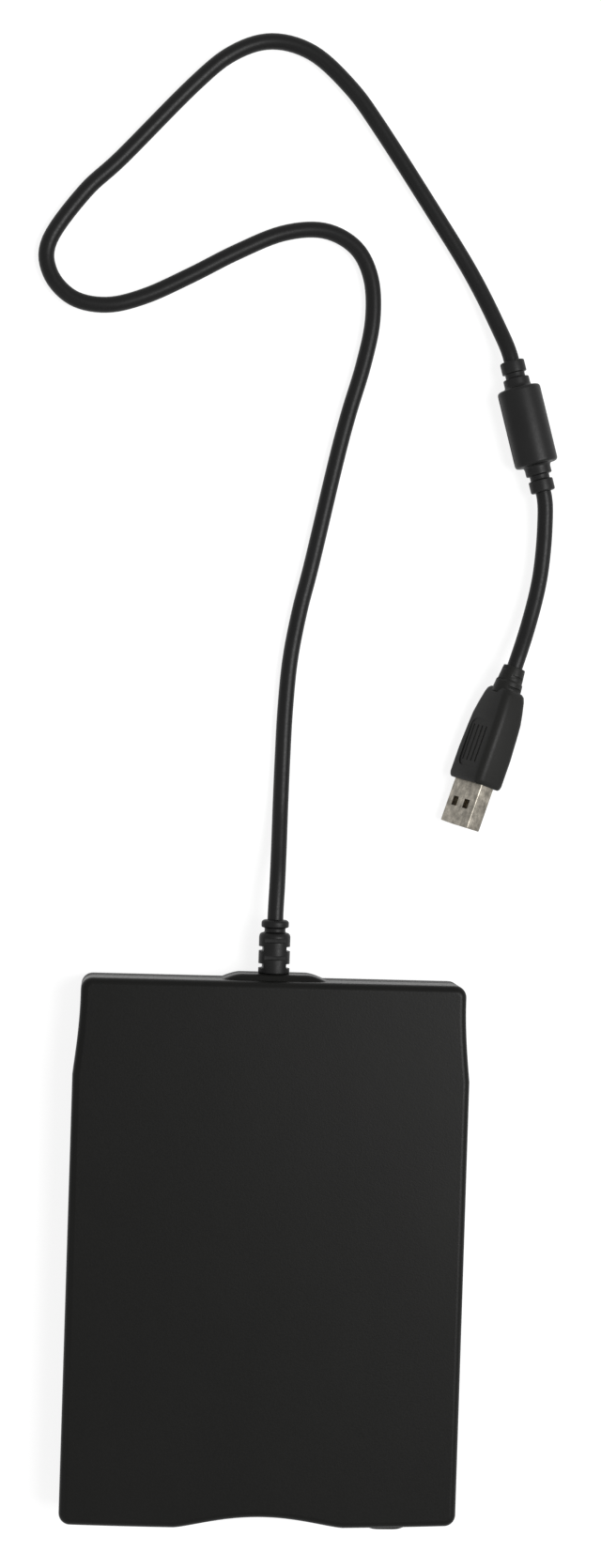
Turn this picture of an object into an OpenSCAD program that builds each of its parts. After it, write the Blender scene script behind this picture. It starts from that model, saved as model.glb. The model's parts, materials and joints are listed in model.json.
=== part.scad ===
// External floppy disk drive: a flat case with a thin drive mechanism inside, and a captive lead
// that ends in a flat serial-bus plug. X is to the right, Y to the rear, Z up, the feet stand at
// Z 0, and the origin is under the middle of the case. All sizes are in millimetres.

/* [Case] */
// Thickness of the side walls
wall = 1.8; // [1.4:0.1:2]
// Thickness of the top and the floor
skin = 1.6; // [1.2:0.1:1.8]
// Radius of the upright corners
corner_r = 3; // [2.5:0.25:5]
// Radius of the rounded top and bottom edges
edge_r = 2; // [1:0.1:2.2]
// Depth of the seam between the covers
seam_d = 0.2; // [0.1:0.05:0.4]
// Height that the feet stand out below the case
foot_h = 0.8; // [0.5:0.1:1.5]
// How far the sides draw in towards the rear
taper_d = 1.5; // [0.5:0.1:2]
// Length of the drawn-in part of the sides
taper_l = 25; // [15:1:40]

/* [Front] */
// How far the front edge bows out in the middle
front_bow = 0.75; // [0:0.05:1]
// Width of the finger scoop
scoop_w = 44; // [30:1:50]
// Depth of the finger scoop
scoop_d = 2.9; // [2:0.1:3.1]
// Height of the disk slot
slot_h = 4.6; // [4.4:0.1:4.8]
// How far the slot's lips are cut back
lip_d = 0.8; // [0.3:0.1:1.2]
// Width of the eject button
button_w = 13; // [9:0.5:15]
// Height of the eject button
button_h = 3.1; // [2:0.1:3.3]
// How far the eject button stands out at rest
button_proud = 3.4; // [2:0.1:5]
// Distance of the eject button from the middle
button_x = 34.3; // [32:0.1:36]
// Width of the lamp window
lamp_w = 3.6; // [2:0.1:5]
// Distance of the lamp window from the middle, to the left
lamp_x = 31; // [27:0.5:33]

/* [Rear] */
// Width of the flat part of the cable bulge
bulge_w = 18; // [14:0.5:24]
// How far the cable bulge stands out
bulge_d = 1.5; // [1:0.1:2.5]
// Diameter of the strain relief
boot_d = 8.2; // [7.6:0.1:9]
// Length of the strain relief outside the case
boot_l = 14; // [12:0.5:20]

/* [Disk] */
// Width of the disk's cartridge
disk_w = 90; // [88:0.5:92]
// Length of the disk's cartridge
disk_l = 94; // [92:0.5:98]
// Thickness of the disk's cartridge
disk_t = 3.3; // [3:0.1:3.4]
// How far the cage drops to load the disk
drop = 2; // [1.6:0.1:2]
// Travel of the slide plate and the button
slide_travel = 4; // [3:0.25:4.5]
// Thickness of the cage and slide plate
sheet_t = 0.5; // [0.4:0.05:0.6]
// Radius of the cage's cam pins
cam_r = 0.9; // [0.6:0.05:1.1]

/* [Drive] */
// Gap between the drive's chassis and the inside of the case's side walls
side_room = 1.7; // [1.6:0.1:4]
// Room behind the drive for the interface board
rear_room = 8.2; // [8:0.1:12]
// Thickness of the chassis plate
chassis_t = 0.8; // [0.6:0.05:0.8]
// Radius of the spindle motor's rotor
rotor_r = 18; // [16.5:0.5:19]
// Number of stator teeth
teeth = 12; // [9:3:15]
// Radius of the spindle shaft
shaft_r = 1.5; // [1:0.1:1.8]
// Radius of the guide rods
rod_r = 1.5; // [1.1:0.1:1.6]
// Radius of the lead screw
screw_r = 1.5; // [1.2:0.1:1.8]
// Travel of the heads, from the outer track to the inner
head_travel = 14.8; // [12:0.2:14.8]
// Angle by which the upper arm is lifted
arm_lift = 7.2; // [5:0.1:7.2]
// Running clearance of shafts and pins
run = 0.05; // [0.02:0.01:0.08]

/* [Lead] */
// Diameter of the cord
cord_d = 4.2; // [3.6:0.1:4.6]
// Diameter of the ferrite cover
bead_d = 11.5; // [10:0.5:14]
// Length of the ferrite cover without its collars
bead_l = 20; // [16:0.5:24]
// Width of the plug's grip
grip_w = 14.2; // [13:0.1:16]
// Thickness of the plug's grip
grip_t = 9; // [7.5:0.1:10]
// Angle that the plug is rolled to where it lies
plug_roll = 62; // [0:1:90]

/* [Hidden] */
$fn = 48;
eps = 0.02;
gap = 0.15;

// Heights of the case's floor and of the drive, one on the other
z_floor = foot_h + skin;
pad_h = 0.4;
z_base = z_floor + pad_h;
z_deck = z_base + chassis_t;
z_board = z_deck + 0.3;
board_t = 0.6;
z_rotor = z_board + board_t + 1.8;
z_loaded = z_rotor + 0.4;
z_disk = z_loaded + drop;
slot_z = z_disk - 0.4;
z_cage = z_disk + disk_t + 0.9;
z_slide = z_cage + sheet_t + 0.4;
z_lid = z_slide + sheet_t + 0.7;
lid_t = 0.5;
z_ceiling = z_lid + lid_t + 0.4;

// The disk sets the size of the drive, and the drive the size of the case. Depths in the drive
// are counted from the front line of the case.
drive_w = disk_w + 6;
drive_l = disk_l + 31.8;
drive_y = 5.2;
drive_end = drive_y + drive_l;
case_w = drive_w + 2 * (wall + side_room);
case_l = drive_end + rear_room + wall;
case_h = z_ceiling + skin;
in_w = case_w / 2 - wall;
z_seam = (foot_h + case_h) / 2 - 0.55;
z_exit = z_seam;

// Places along Y. The origin is midway between the button's face and the bulge's.
button_bow = front_bow * (1 - pow(button_x / (case_w / 2 - corner_r), 2));
front_reach = button_bow + button_proud;
y_front = (front_reach - bulge_d - case_l) / 2;
y_rear = y_front + case_l;

// Cage and slide plate
slot_w = disk_w + 1.8;
cage_x = disk_w / 2 + 0.3;
flange_x = cage_x + sheet_t + 0.5;
side_x = drive_w / 2;
cage_y = 12.8;
cage_end = drive_end - 32.7;
cam_ys = [25, cage_end - 8.3];
slide_end = cage_end + 1.7;
cam_z = z_disk + 2.3;
cage_window = 13;

// Front opening of the covers, and the panel that fills it
open_x = case_w / 2 - 4;
open_z = [z_floor + 0.8, z_lid - 0.1];
panel_in = 0.35;
panel_t = 2.05;
throat_y = 5.1;

// Dust door
door_t = 0.8;
door_y = throat_y + 0.2;
door_axis_y = door_y + door_t;
door_axis_z = slot_z + slot_h + 0.85;
door_low = slot_z - 0.4;
door_x = slot_w / 2 + 0.5;
door_pin_r = 0.55;

// Button
button_z = z_deck + 0.7;
tab_y = 9;

// Spindle and heads
spindle_y = cage_y + 38.2;
head_y = spindle_y + 39.5;
hinge_y = drive_end - 10.5;
hinge_z = z_loaded + 3.9;
head_tip = z_loaded + 1.75;
rod_z = z_deck + 2.8;
rod_x = 14;
rod2_x = -13;
screw_x = -24;
screw_z = z_deck + 5.4;
can_r = (z_lid - z_deck) / 2 - 0.5;
bracket_y = [drive_end - 32.3, drive_end - 30.8];
bracket2_y = [drive_end - 3, drive_end - 1.5];
nut_y = [hinge_y - 4.9, hinge_y - 3.1];
block_y = [hinge_y - 3.5, hinge_y + 5.5];

// Lever
lever_x = side_x - 18;
lever_y = drive_end - 25;
lever_z = [z_disk + 0.4, z_disk + 1.4];
lever_l = 20;
lever_at = -107.5;
nose_l = 7;
nose_r = 1.3;
nose_at = -20;
post_r = 1.15;

// Lead
cord_r = cord_d / 2;
boot_tip = case_l + bulge_d + boot_l;
cord_sides = 10;
bead_axis = 15.7;
bead_at = [62.9, 219.2, bead_d / 2];
collar_l = 7.7;
bead_half = bead_l / 2 + collar_l;
plug_axis = -17.5;
grip_r = 2;
plug_z = (grip_w / 2 - grip_r) * sin(plug_roll) + (grip_t / 2 - grip_r) * cos(plug_roll) + grip_r;
plug_at = [61.2, 155.3, plug_z + 0.08];
grip_l = 32.4;
shell_w = 12;
shell_h = 4.5;
shell_t = 0.3;
shell_l = 11.8;

// Route of the cord from the strain relief to the ferrite cover, chosen by hand
main_route = [
    [0.3, 97, 7.7], [0.6, 107, 5.2], [0.8, 117, 3], [1, 129, 2.1], [1.3, 142, 2.1],
    [2.2, 155.5, 2.1], [4.3, 168.5, 2.1], [7.2, 181.5, 2.1],
    [12.6, 208, 2.1], [15.6, 221, 2.1], [19.1, 234, 2.1], [21.2, 246, 2.1],
    [20.4, 257, 2.1], [16, 265, 2.1], [7.5, 269, 2.1], [-3.4, 267.7, 2.1],
    [-15.5, 262.1, 2.1], [-27.2, 255.5, 2.1], [-39, 249.5, 2.1], [-49, 246.7, 2.1],
    [-58, 248.2, 2.1], [-64, 254.5, 2.1], [-64.3, 263, 2.1], [-55.6, 276, 2.1],
    [-46.2, 285.5, 2.1], [-28, 305.5, 2.1], [-18, 314.3, 2.1],
    [-7.8, 318, 2.1], [3, 315.6, 2.1], [13.2, 307.2, 2.1], [21.4, 297, 2.1],
    [36.8, 275, 2.1], [47, 259.7, 2.3], [54.2, 246, 4]
];
// Route of the cord from the ferrite cover to the plug
tail_route = [[68.6, 193, 4.8], [67.8, 180, 4.6], [65.2, 168, 5.6]];

// ---- Helpers ----

function unit(v) = v / norm(v);
function last(v) = v[len(v) - 1];
function rev(v) = [for (i = [len(v) - 1:-1:0]) v[i]];

// Moves a closed outline inwards by d, square to each of its sides
function inset(path, d) = [
    for (i = [0:len(path) - 1])
        let (
            n = len(path),
            a = unit(path[i] - path[(i + n - 1) % n]),
            b = unit(path[(i + 1) % n] - path[i]),
            na = [a.y, -a.x],
            m = unit(na + [b.y, -b.x])
        )
        path[i] - m * d / (m * na)
];

// A closed solid through level outlines, each given as [height, inset]
module loft(path, rings) {
    n = len(path);
    top = (len(rings) - 1) * n;
    points = [for (r = rings) for (p = inset(path, r[1])) [p.x, p.y, r[0]]];
    sides = [
        for (k = [0:len(rings) - 2]) for (i = [0:n - 1])
            let (j = (i + 1) % n)
            [k * n + i, (k + 1) * n + i, (k + 1) * n + j, k * n + j]
    ];
    polyhedron(points, concat([[for (i = [0:n - 1]) i], [for (i = [n - 1:-1:0]) top + i]], sides));
}

// A tube swept along points, with the side directions square to each point's heading
module sweep(points, headings, r, sides) {
    n = len(points);
    rings = [
        for (k = [0:n - 1])
            let (
                t = unit(headings[k]),
                u = unit(cross(abs(t.z) > 0.9 ? [1, 0, 0] : [0, 0, 1], t)),
                w = cross(t, u)
            )
            for (i = [0:sides - 1])
                let (a = 360 * (i + 0.5) / sides)
                points[k] + r * (cos(a) * u + sin(a) * w)
    ];
    ends = [[for (i = [sides - 1:-1:0]) i], [for (i = [0:sides - 1]) (n - 1) * sides + i]];
    walls = [
        for (k = [0:n - 2]) for (i = [0:sides - 1])
            let (j = (i + 1) % sides, a = k * sides + i, b = k * sides + j)
            each [[a, b, b + sides], [a, b + sides, a + sides]]
    ];
    polyhedron(rings, concat(ends, walls));
}

// A smooth curve through points; the first and last point only steer its ends
function curve_at(p, i, t) =
    0.5 * (2 * p[i] + (p[i + 1] - p[i - 1]) * t
        + (2 * p[i - 1] - 5 * p[i] + 4 * p[i + 1] - p[i + 2]) * t * t
        + (3 * p[i] - p[i - 1] - 3 * p[i + 1] + p[i + 2]) * t * t * t);
function slope_at(p, i, t) =
    0.5 * ((p[i + 1] - p[i - 1])
        + 2 * (2 * p[i - 1] - 5 * p[i] + 4 * p[i + 1] - p[i + 2]) * t
        + 3 * (3 * p[i] - p[i - 1] - 3 * p[i + 1] + p[i + 2]) * t * t);

// The points that a cord's curve is drawn through, with a helper before and after the ends
function cord_knots(a, a_way, route, b, b_way) = concat(
    [route[0] - 2 * norm(route[0] - a) * a_way], [a], route, [b],
    [last(route) + 2 * norm(b - last(route)) * b_way]);

function cord_points(p, steps) = concat(
    [for (i = [1:len(p) - 3]) for (k = [0:steps - 1]) curve_at(p, i, k / steps)], [p[len(p) - 2]]);

// Length of a line through points, from the i-th on
function line_length(p, i = 1) = i >= len(p) ? 0 : norm(p[i] - p[i - 1]) + line_length(p, i + 1);

// A cord from a to b by way of the route, leaving along a_way and arriving along b_way
module cord(a, a_way, route, b, b_way, r, sides, steps) {
    p = cord_knots(a, a_way, route, b, b_way);
    spans = len(p) - 3;
    points = cord_points(p, steps);
    headings = concat([a_way],
        [for (i = [1:spans]) for (k = [0:steps - 1]) if (i + k > 1) slope_at(p, i, k / steps)],
        [b_way]);
    sweep(points, headings, r, sides);
}

// A coil of wire about Z, from z0 to z1
module coil(r, wire, z0, z1, turns, steps = 8) {
    n = turns * steps;
    rise = (z1 - z0 - 2 * wire) / n;
    points = [for (i = [0:n]) [r * cos(360 * i / steps), r * sin(360 * i / steps), z0 + wire + rise * i]];
    headings = [for (i = [0:n]) [-sin(360 * i / steps), cos(360 * i / steps), rise * steps / (2 * PI * r)]];
    sweep(points, headings, wire, 6);
}

module block(x, y, z) {
    translate([x[0], y[0], z[0]])
        cube([x[1] - x[0], y[1] - y[0], z[1] - z[0]]);
}

module pin(x, y, z, r) {
    translate([x, y, z[0]])
        cylinder(r = r, h = z[1] - z[0]);
}

// A rod along Y
module rod(x, y, z, r) {
    translate([x, y[1], z])
        rotate([90, 0, 0])
            cylinder(r = r, h = y[1] - y[0]);
}

// A pin along X
module cross_pin(x, y, z, r) {
    translate([x[0], y, z])
        rotate([0, 90, 0])
            cylinder(r = r, h = x[1] - x[0]);
}

module both_sides() {
    children();
    mirror([1, 0, 0])
        children();
}

module rounded_rect(w, h, r) {
    square([w - 2 * r, h], center = true);
    square([w, h - 2 * r], center = true);
    for (x = [-1, 1], y = [-1, 1])
        translate([x * (w / 2 - r), y * (h / 2 - r)])
            circle(r = r);
}

// Counts depths from the front line of the case
module drive() {
    translate([0, y_front, 0])
        children();
}

// ---- Outline of the case, seen from above ----

function bow(x) = -front_bow * max(0, 1 - pow(x / (case_w / 2 - corner_r), 2));
function scoop(x) = scoop_d * pow(max(0, 1 - pow(2 * x / scoop_w, 2)), 1.4);
function front_edge(x) = y_front + bow(x) + scoop(x);
function corner(x, y, from) = [
    for (i = [0:6]) [x + corner_r * cos(from + 15 * i), y + corner_r * sin(from + 15 * i)]
];
straight = (case_w - scoop_w) / 2 - corner_r;
half_outline = concat(
    [for (i = [0:10]) let (x = i * scoop_w / 20) [x, front_edge(x)]],
    [for (i = [1:3]) let (x = scoop_w / 2 + i * straight / 4) [x, front_edge(x)]],
    corner(case_w / 2 - corner_r, y_front + corner_r, -90),
    [
        for (i = [0:4])
            [case_w / 2 - taper_d * sin(22.5 * i), y_rear - taper_l + (taper_l - corner_r - 1) * i / 4]
    ],
    corner(case_w / 2 - taper_d - corner_r, y_rear - corner_r, 0)
);
// Begins at the rear, from where the whole outline can be seen in straight lines
outline = concat(
    [for (i = [len(half_outline) - 1:-1:1]) [-half_outline[i].x, half_outline[i].y]],
    half_outline
);

// ---- Case ----

// The outside of one cover. side is 1 for the top and -1 for the bottom.
module cover_outside(side) {
    face = side > 0 ? case_h : foot_h;
    rings = concat(
        [[z_seam, seam_d], [z_seam + side * seam_d, 0], [face - side * edge_r, 0]],
        [for (i = [1:5]) [face - side * edge_r * (1 - sin(18 * i)), edge_r * (1 - cos(18 * i))]]
    );
    loft(outline, side > 0 ? rings : rev(rings));
}

// The bulge round the cable, both halves
module bulge() {
    y = y_rear - eps;
    hull() {
        translate([-bulge_w / 2, y, z_seam - 4.4])
            cube([bulge_w, bulge_d + eps, 8.8]);
        translate([-bulge_w / 2 - 5.6, y, z_seam - 5.6])
            cube([bulge_w + 11.2, eps, 11.2]);
    }
}

// What both covers are cleared of: the hollow, the front opening and the cable's way out
module case_hollow() {
    translate([0, 0, z_floor])
        linear_extrude(z_ceiling - z_floor)
            polygon(inset(outline, wall));
    drive() {
        block([-open_x, open_x], [-5, 6], open_z);
        rod(0, [case_l - wall - 1, case_l + bulge_d + 1], z_exit, boot_d / 2 - 0.9 + gap);
    }
}

screw_pos = [[7.1 - case_w / 2, case_l - 5.4], [case_w / 2 - 7.1, case_l - 5.4]];
catch_ys = [30, case_l / 2 - 6.5, case_l - 43];

module top_cover() {
    color([0.13, 0.13, 0.13])
        union() {
            difference() {
                union() {
                    cover_outside(1);
                    intersection() {
                        bulge();
                        block([-case_w, case_w], [0, case_l], [z_seam, case_h]);
                    }
                }
                case_hollow();
                // rebate over the lower cover's tongue
                translate([0, 0, z_seam - eps])
                    linear_extrude(1.2 + gap)
                        difference() {
                            polygon(inset(outline, wall / 2 - gap / 2));
                            polygon(inset(outline, wall + 1));
                        }
            }
            drive() {
                for (p = screw_pos)
                    difference() {
                        pin(p.x, p.y, [z_seam, z_ceiling + eps], 2.8);
                        pin(p.x, p.y, [z_seam - 1, z_ceiling - 0.6], 1.05);
                    }
                // pads that press on the drive's lid
                for (x = [-30, 0, 30])
                    block([x - 0.6, x + 0.6], [12, drive_end - 2], [z_lid + lid_t, z_ceiling + eps]);
                // catches that hook into the lower cover
                both_sides()
                    for (y = catch_ys) {
                        block([in_w - 0.8, in_w - gap], [y - 4, y + 4], [z_seam - 3, z_seam + 2]);
                        block([in_w - 0.8, in_w + eps], [y - 4, y + 4], [z_seam + 1.6, z_seam + 4]);
                        block([in_w - 0.8, in_w + 0.45], [y - 4, y + 4], [z_seam - 3, z_seam - 2.2]);
                    }
            }
        }
}

module bottom_cover() {
    color([0.1, 0.1, 0.1])
        difference() {
            union() {
                difference() {
                    union() {
                        cover_outside(-1);
                        intersection() {
                            bulge();
                            block([-case_w, case_w], [0, case_l], [0, z_seam]);
                        }
                        // tongue along the seam
                        translate([0, 0, z_seam - 1])
                            linear_extrude(2.2)
                                polygon(inset(outline, wall / 2 + gap / 2));
                    }
                    case_hollow();
                }
                drive() {
                    for (p = screw_pos)
                        pin(p.x, p.y, [z_floor - 0.4, z_seam], 2.8);
                    for (p = chassis_screw_pos)
                        pin(p.x, p.y, [z_floor - 0.4, z_base], 2.6);
                    // ribs that keep the chassis in its place
                    both_sides()
                        for (y = [16, 47, drive_end - 50, drive_end - 19])
                            block([side_x + 0.55, in_w + 0.4], [y - 0.6, y + 0.6],
                                [z_floor - 0.4, z_seam - 1]);
                    // posts of the interface board
                    for (x = [-24, 24])
                        pin(x, board_y, [z_floor - 0.4, usb_z], 1.8);
                }
            }
            drive() {
                for (p = screw_pos) {
                    pin(p.x, p.y, [0, z_seam + 1], 1.3);
                    pin(p.x, p.y, [foot_h - 1, foot_h + 1.7], 2.4);
                }
                for (p = chassis_screw_pos)
                    pin(p.x, p.y, [z_base - 1.4, z_base + 1], 0.85);
                both_sides()
                    for (y = catch_ys)
                        block([in_w - 1, in_w + 0.6], [y - 4.3, y + 4.3], [z_seam - 3.3, z_seam - 1.9]);
            }
            foot_recesses();
        }
}

foot_pos = [[case_w / 2 - 13.5, 13], [case_w / 2 - 13.5, case_l - 17]];
module foot_places(z, grow) {
    drive()
        both_sides()
            for (p = foot_pos)
                translate([p.x, p.y, z[0]])
                    linear_extrude(z[1] - z[0])
                        rounded_rect(12 + 2 * grow, 6 + 2 * grow, 2);
}

module foot_recesses() {
    foot_places([-0.5, foot_h + 0.4], gap);
}

module rubber_feet() {
    color([0.06, 0.06, 0.06])
        foot_places([0, foot_h + 0.4], 0);
}

module case_screws() {
    color([0.55, 0.55, 0.57])
        drive()
            for (p = screw_pos)
                difference() {
                    union() {
                        pin(p.x, p.y, [foot_h + 0.3, foot_h + 1.7], 2.1);
                        pin(p.x, p.y, [foot_h + 1.7, z_ceiling - 2], 1);
                    }
                    translate([p.x, p.y, foot_h + 0.6])
                        for (a = [0, 90])
                            rotate([0, 0, a])
                                cube([2.4, 0.5, 1.4], center = true);
                }
}

// Upright slices of the front of the case between two insets, cut to the panel's width
module front_slice(a, b, x, z) {
    intersection() {
        translate([0, 0, z[0]])
            linear_extrude(z[1] - z[0])
                difference() {
                    polygon(inset(outline, a));
                    polygon(inset(outline, b));
                }
        block([-x, x], [y_front - 5, y_front + 8], z);
    }
}

// One bar of the panel, above or below the slot, with its lip cut back
module panel_bar(z0, z1, lip_at_top) {
    rings = lip_at_top
        ? [[z0, panel_in], [z1 - lip_d, panel_in], [z1, panel_in + lip_d]]
        : [[z0, panel_in + lip_d], [z0 + lip_d, panel_in], [z1, panel_in]];
    difference() {
        intersection() {
            loft(outline, rings);
            block([gap - open_x, open_x - gap], [y_front - 5, y_front + 8], [z0, z1]);
        }
        translate([0, 0, z0 - 1])
            linear_extrude(z1 - z0 + 2)
                polygon(inset(outline, panel_in + panel_t));
    }
}

module front_bezel() {
    z0 = open_z[0] + gap;
    z1 = open_z[1] - gap;
    slot_top = slot_z + slot_h;
    color([0.11, 0.11, 0.11])
        difference() {
            union() {
                panel_bar(z0, slot_z, true);
                panel_bar(slot_top, z1, false);
                front_slice(panel_in, panel_in + panel_t, open_x - gap, [slot_z, slot_top]);
                // flange behind the front wall of the case
                front_slice(wall + gap, panel_in + panel_t + 0.3, in_w - 0.7, [z0 - 0.6, z1 + 0.6]);
                // throat of the slot, back to the dust door
                drive()
                    block([-slot_w / 2 - 1, slot_w / 2 + 1], [0.6, throat_y],
                        [slot_z - 0.7, slot_top + 0.7]);
                // ears that carry the dust door's pins
                drive()
                    both_sides()
                        block([door_x + 0.15, door_x + 0.95], [throat_y - 1, door_axis_y + 1],
                            [slot_top - 0.4, door_axis_z + 1]);
            }
            drive() {
                block([-slot_w / 2, slot_w / 2], [-5, 9], [slot_z, slot_top]);
                block([button_x - button_w / 2 - 0.2, button_x + button_w / 2 + 0.2], [-5, 9],
                    [button_z - 0.2, button_z + button_h + 0.2]);
                block([-lamp_x - lamp_w / 2, lamp_w / 2 - lamp_x], [-5, 9], [lamp_z, lamp_z + 1.6]);
                both_sides()
                    cross_pin([door_x, door_x + 2], door_axis_y, door_axis_z, door_pin_r + run);
            }
            // the throat keeps behind the panel's face
            difference() {
                block([-60, 60], [y_front - 6, y_front + 8], [0, case_h]);
                translate([0, 0, -1])
                    linear_extrude(case_h + 2)
                        polygon(inset(outline, panel_in));
            }
        }
}

lamp_z = button_z + 0.7;
module lamp_window() {
    color([0.75, 0.85, 0.7])
        drive() {
            block([-lamp_x - lamp_w / 2, lamp_w / 2 - lamp_x], [bow(lamp_x) + panel_in + 0.1, 8],
                [lamp_z, lamp_z + 1.6]);
            block([-lamp_x - lamp_w / 2 - 0.8, lamp_w / 2 - lamp_x + 0.8], [3.2, 4.4],
                [lamp_z, lamp_z + 1.6]);
        }
}

module activity_lamp() {
    color([0.9, 0.95, 0.8])
        drive()
            block([-lamp_x - 0.8, 0.8 - lamp_x], [8.2, 9.6], [z_board + board_t, lamp_z + 1.2]);
}

// ---- Strain relief, cord inside the case, interface board ----

board_y = drive_end + 3.4;
wire_start = case_l - wall - 2.3;
board_end = drive_end - 34;
usb_z = z_floor + 2;
ribbon_x = [side_x - 14.8, side_x - 7.8];

module cable_boot() {
    r = boot_d / 2;
    wall_y = case_l - wall;
    face_y = case_l + bulge_d;
    color([0.08, 0.08, 0.08])
        translate([0, y_front, z_exit])
            rotate([-90, 0, 0])
                difference() {
                    rotate_extrude()
                        polygon([
                            [cord_r + run, wall_y - 1.5], [r + 0.9, wall_y - 1.5], [r + 0.9, wall_y],
                            [r - 0.9, wall_y], [r - 0.9, face_y], [r, face_y],
                            [r, face_y + 0.72 * boot_l], [r - 0.35, face_y + 0.75 * boot_l],
                            [2.75, face_y + 0.75 * boot_l], [2.75, face_y + 0.85 * boot_l],
                            [3.6, face_y + 0.85 * boot_l], [3.6, boot_tip - 0.5], [3.1, boot_tip],
                            [cord_r + run, boot_tip]
                        ]);
                    // slots that let it bend, in turn on the sides and on top and bottom
                    for (i = [0:3], s = [-1, 1])
                        rotate([0, 0, 90 * (i % 2)])
                            translate([s * (cord_r + 0.9 + 3), 0, face_y + (0.1 + 0.16 * i) * boot_l + 0.6])
                                cube([6, 12, 1.1], center = true);
                }
}

module cord_inner() {
    color([0.07, 0.07, 0.07])
        drive()
            rod(0, [wire_start, boot_tip], z_exit, cord_r);
}

// Four wires, each by way of two points into the side of the connector
wire_routes = [
    [[-0.75, -0.7], [-2.5, board_y + 1.5, z_exit - 1.6], board_y + 1.3],
    [[-0.75, 0.7], [-2.1, board_y + 0.5, z_exit - 0.3], board_y + 0.4],
    [[0.75, -0.7], [-1.2, board_y - 0.4, z_exit - 1.4], board_y - 0.5],
    [[0.75, 0.7], [-0.6, board_y - 1.3, z_exit - 0.1], board_y - 1.4]
];

module cord_wires() {
    color([0.5, 0.12, 0.1])
        drive()
            for (w = wire_routes)
                cord([w[0].x, wire_start, z_exit + w[0].y], [0, -1, 0], [w[1]],
                    [-6, w[2], usb_z + 1.95], [-1, 0, 0], 0.34, 6, 3);
}

module usb_board() {
    color([0.1, 0.3, 0.2])
        drive()
            difference() {
                block([-30, side_x - 7], [board_y - 2.6, board_y + 2.8], [usb_z, usb_z + 1]);
                for (x = [-24, 24])
                    pin(x, board_y, [usb_z - 1, usb_z + 2], 0.9);
            }
}

module usb_parts() {
    z = usb_z + 1;
    color([0.12, 0.12, 0.13])
        drive() {
            block([-12, -6], [board_y - 2, board_y + 2], [z, z + 1.9]);
            block([3, 8], [board_y - 2.4, board_y + 2.4], [z, z + 0.9]);
            block([12, 15.2], [board_y - 1.2, board_y + 1.2], [z, z + 0.8]);
            block([-19, -15.8], [board_y - 0.8, board_y + 0.8], [z, z + 0.6]);
            block([ribbon_x[0] - 0.7, ribbon_x[1] + 0.6], [board_y - 2.4, board_y + 2.4], [z, z + 1.2]);
        }
}

module ribbon_cable() {
    z = z_board + board_t + 0.4;
    color([0.75, 0.72, 0.62])
        drive() {
            block(ribbon_x, [board_end, drive_end + 0.4], [z, z + 0.15]);
            block(ribbon_x, [drive_end + 0.4, drive_end + 0.55], [z, usb_z + 1.6]);
            block(ribbon_x, [drive_end + 0.4, board_y - 2.4], [usb_z + 1.45, usb_z + 1.6]);
        }
}

// ---- Chassis, lid and board ----

chassis_screw_pos = [
    [4 - side_x, 20], [side_x - 4, 20], [8 - side_x, drive_end - 19], [28, drive_end - 6]
];
post_pos = [[cage_x - 6.8, 15], [cage_x - 6.8, cage_end - 10.3]];
spring_y = [33, 61.5];
spring_x = flange_x - 2.1;

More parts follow.
